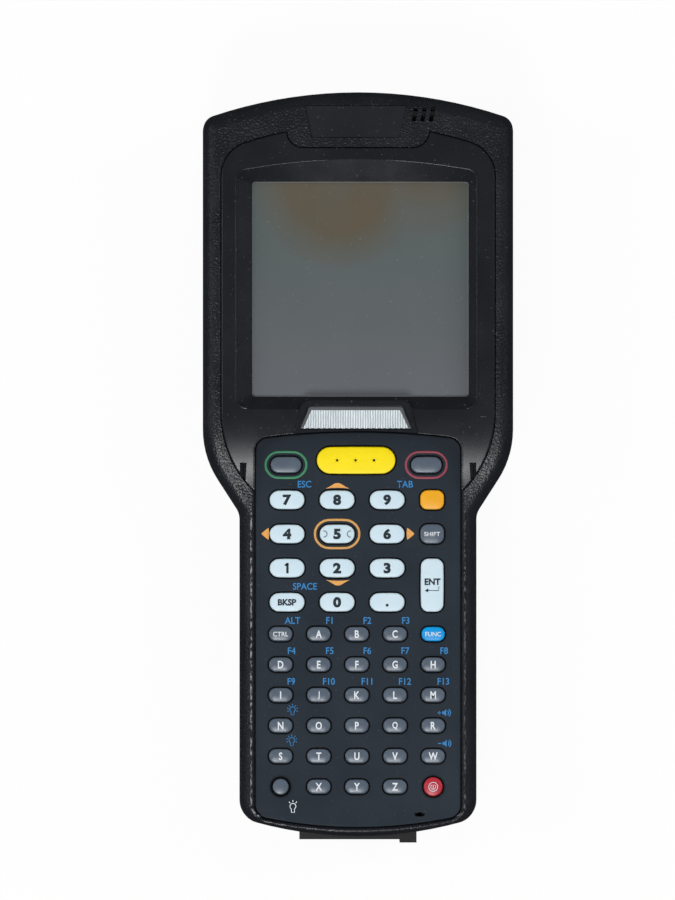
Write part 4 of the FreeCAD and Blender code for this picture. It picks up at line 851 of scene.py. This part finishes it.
# Pale edge of the film round the visible screen, in millimetres
FILM_MARGIN = 3.05
film_low, film_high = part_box("touch_panel")
film_left, film_right = film_low.x / MM + FILM_MARGIN, film_high.x / MM - FILM_MARGIN
film_bottom, film_top = film_low.y / MM + FILM_MARGIN, film_high.y / MM - FILM_MARGIN
border = [(film_left, film_bottom), (film_right, film_bottom), (film_right, film_top), (film_left, film_top)]
lay_flat("screen_border", [ribbon(border, 0.22, closed=True)], film_edge, ROOT, "touch_glass",
        glass_top + THIN_LIFT)

# Edge of the bezel along the top of the keypad panel
RAMP_HALF = 14 * MM
PANEL_ARCH = 190 * MM
PANEL_CORNER = 3.4 * MM
EDGE_LOW = -5.0 * MM
EDGE_GROW = 0.45 * MM
EDGE_SINK = 0.1 * MM


def face_height(y):
    """Height of the front face on the ramp between grip and head."""
    rise = (head_top - grip_top) / 2
    radius = (RAMP_HALF * RAMP_HALF + rise * rise) / (rise * 2)
    if y >= RAMP_HALF:
        return head_top
    if y <= -RAMP_HALF:
        return grip_top
    run = RAMP_HALF - abs(y)
    bend = radius - math.sqrt(radius * radius - run * run)
    return head_top - bend if y > 0 else grip_top + bend


def panel_edge():
    """Path along the keypad panel's top from the bezel's left point to its right one."""
    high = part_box("keypad_panel")[1]
    half, radius, arch = high.x + EDGE_GROW, PANEL_CORNER + EDGE_GROW, PANEL_ARCH + EDGE_GROW
    centre = high.y - PANEL_ARCH
    inner, across = arch - radius, half - radius
    corner_y = centre + math.sqrt(inner * inner - across * across)
    spread = math.degrees(math.asin(across / inner))
    points = line_points((-half, EDGE_LOW), (-half, corner_y), 8)
    points += circle_points(-across, corner_y, radius, 180, 90 + spread, 10)
    points += circle_points(0, centre, arch, 90 + spread, 90 - spread, 40)[1:-1]
    points += circle_points(across, corner_y, radius, 90 - spread, 0, 10)
    points += line_points((half, corner_y), (half, EDGE_LOW), 8)[1:] + [(half, EDGE_LOW)]
    return [(x, y, face_height(y) - EDGE_SINK) for x, y in points]


bead("bezel_inner_edge", panel_edge(), 0.2 * MM, 0.14 * MM, bezel_black, "bezel_black", closed=False)

# Floor: white to the camera but for the shadow, and nearly black in mirror-like reflections
FLOOR_TONE = 0.86
FLOOR_MIRRORED = 0.04
FLOOR_GLOW = 0.94
FLOOR_DROP = 0.0002


def floor_material():
    """A pale surface blended with a glow that only camera rays see."""
    material = bpy.data.materials.new("floor")
    material.use_nodes = True
    tree = material.node_tree
    shader = tree.nodes["Principled BSDF"]
    shader.inputs["Roughness"].default_value = 0.9
    glow = tree.nodes.new("ShaderNodeEmission")
    glow.inputs["Strength"].default_value = 1.0
    path = tree.nodes.new("ShaderNodeLightPath")
    tone = tree.nodes.new("ShaderNodeMapRange")
    tone.inputs["To Min"].default_value = FLOOR_TONE
    tone.inputs["To Max"].default_value = FLOOR_MIRRORED
    tree.links.new(path.outputs["Is Glossy Ray"], tone.inputs["Value"])
    tree.links.new(tone.outputs["Result"], shader.inputs["Base Color"])
    share = tree.nodes.new("ShaderNodeMath")
    share.operation = "MULTIPLY"
    share.inputs[1].default_value = FLOOR_GLOW
    blend = tree.nodes.new("ShaderNodeMixShader")
    tree.links.new(path.outputs["Is Camera Ray"], share.inputs[0])
    tree.links.new(share.outputs[0], blend.inputs[0])
    tree.links.new(shader.outputs[0], blend.inputs[1])
    tree.links.new(glow.outputs[0], blend.inputs[2])
    tree.links.new(blend.outputs[0], tree.nodes["Material Output"].inputs["Surface"])
    return material


bpy.ops.mesh.primitive_plane_add(size=3, location=(0, 0, -FLOOR_DROP))
floor = bpy.context.object
floor.name = "floor"
floor.data.materials.append(floor_material())

# Lamps: place, width, length, watts, and whether glossy surfaces mirror the lamp
LAMP_AIM = (0, 0, 0.02)
LAMPS = {"low_end": ((-0.15, -0.7, 1.15), 0.45, 0.45, 9, True),
         "right": ((0.95, 0.25, 0.75), 0.5, 0.8, 6, False),
         "left": ((-1.0, 0.1, 0.7), 0.5, 0.8, 6, False),
         "head_end": ((0.15, 1.1, 0.8), 0.5, 0.5, 4, False),
         "rail_left": ((-0.75, 0.05, 0.75), 0.05, 0.8, 0.6, True),
         "rail_right": ((0.8, 0.05, 0.8), 0.04, 0.8, 0.25, True)}
for name, (place, wide, long, power, mirrored) in LAMPS.items():
    data = bpy.data.lights.new(name, "AREA")
    data.shape = "RECTANGLE"
    data.size, data.size_y = wide, long
    data.energy = power
    lamp = bpy.data.objects.new(name, data)
    lamp.location = place
    lamp.rotation_euler = (Vector(LAMP_AIM) - Vector(place)).to_track_quat("-Z", "Y").to_euler()
    lamp.visible_glossy = mirrored
    scene.collection.objects.link(lamp)

world = bpy.data.worlds.new("world")
world.use_nodes = True
sky = world.node_tree.nodes["Background"]
sky.inputs["Color"].default_value = (0.88, 0.94, 1.0, 1)
sky.inputs["Strength"].default_value = 0.07
scene.world = world
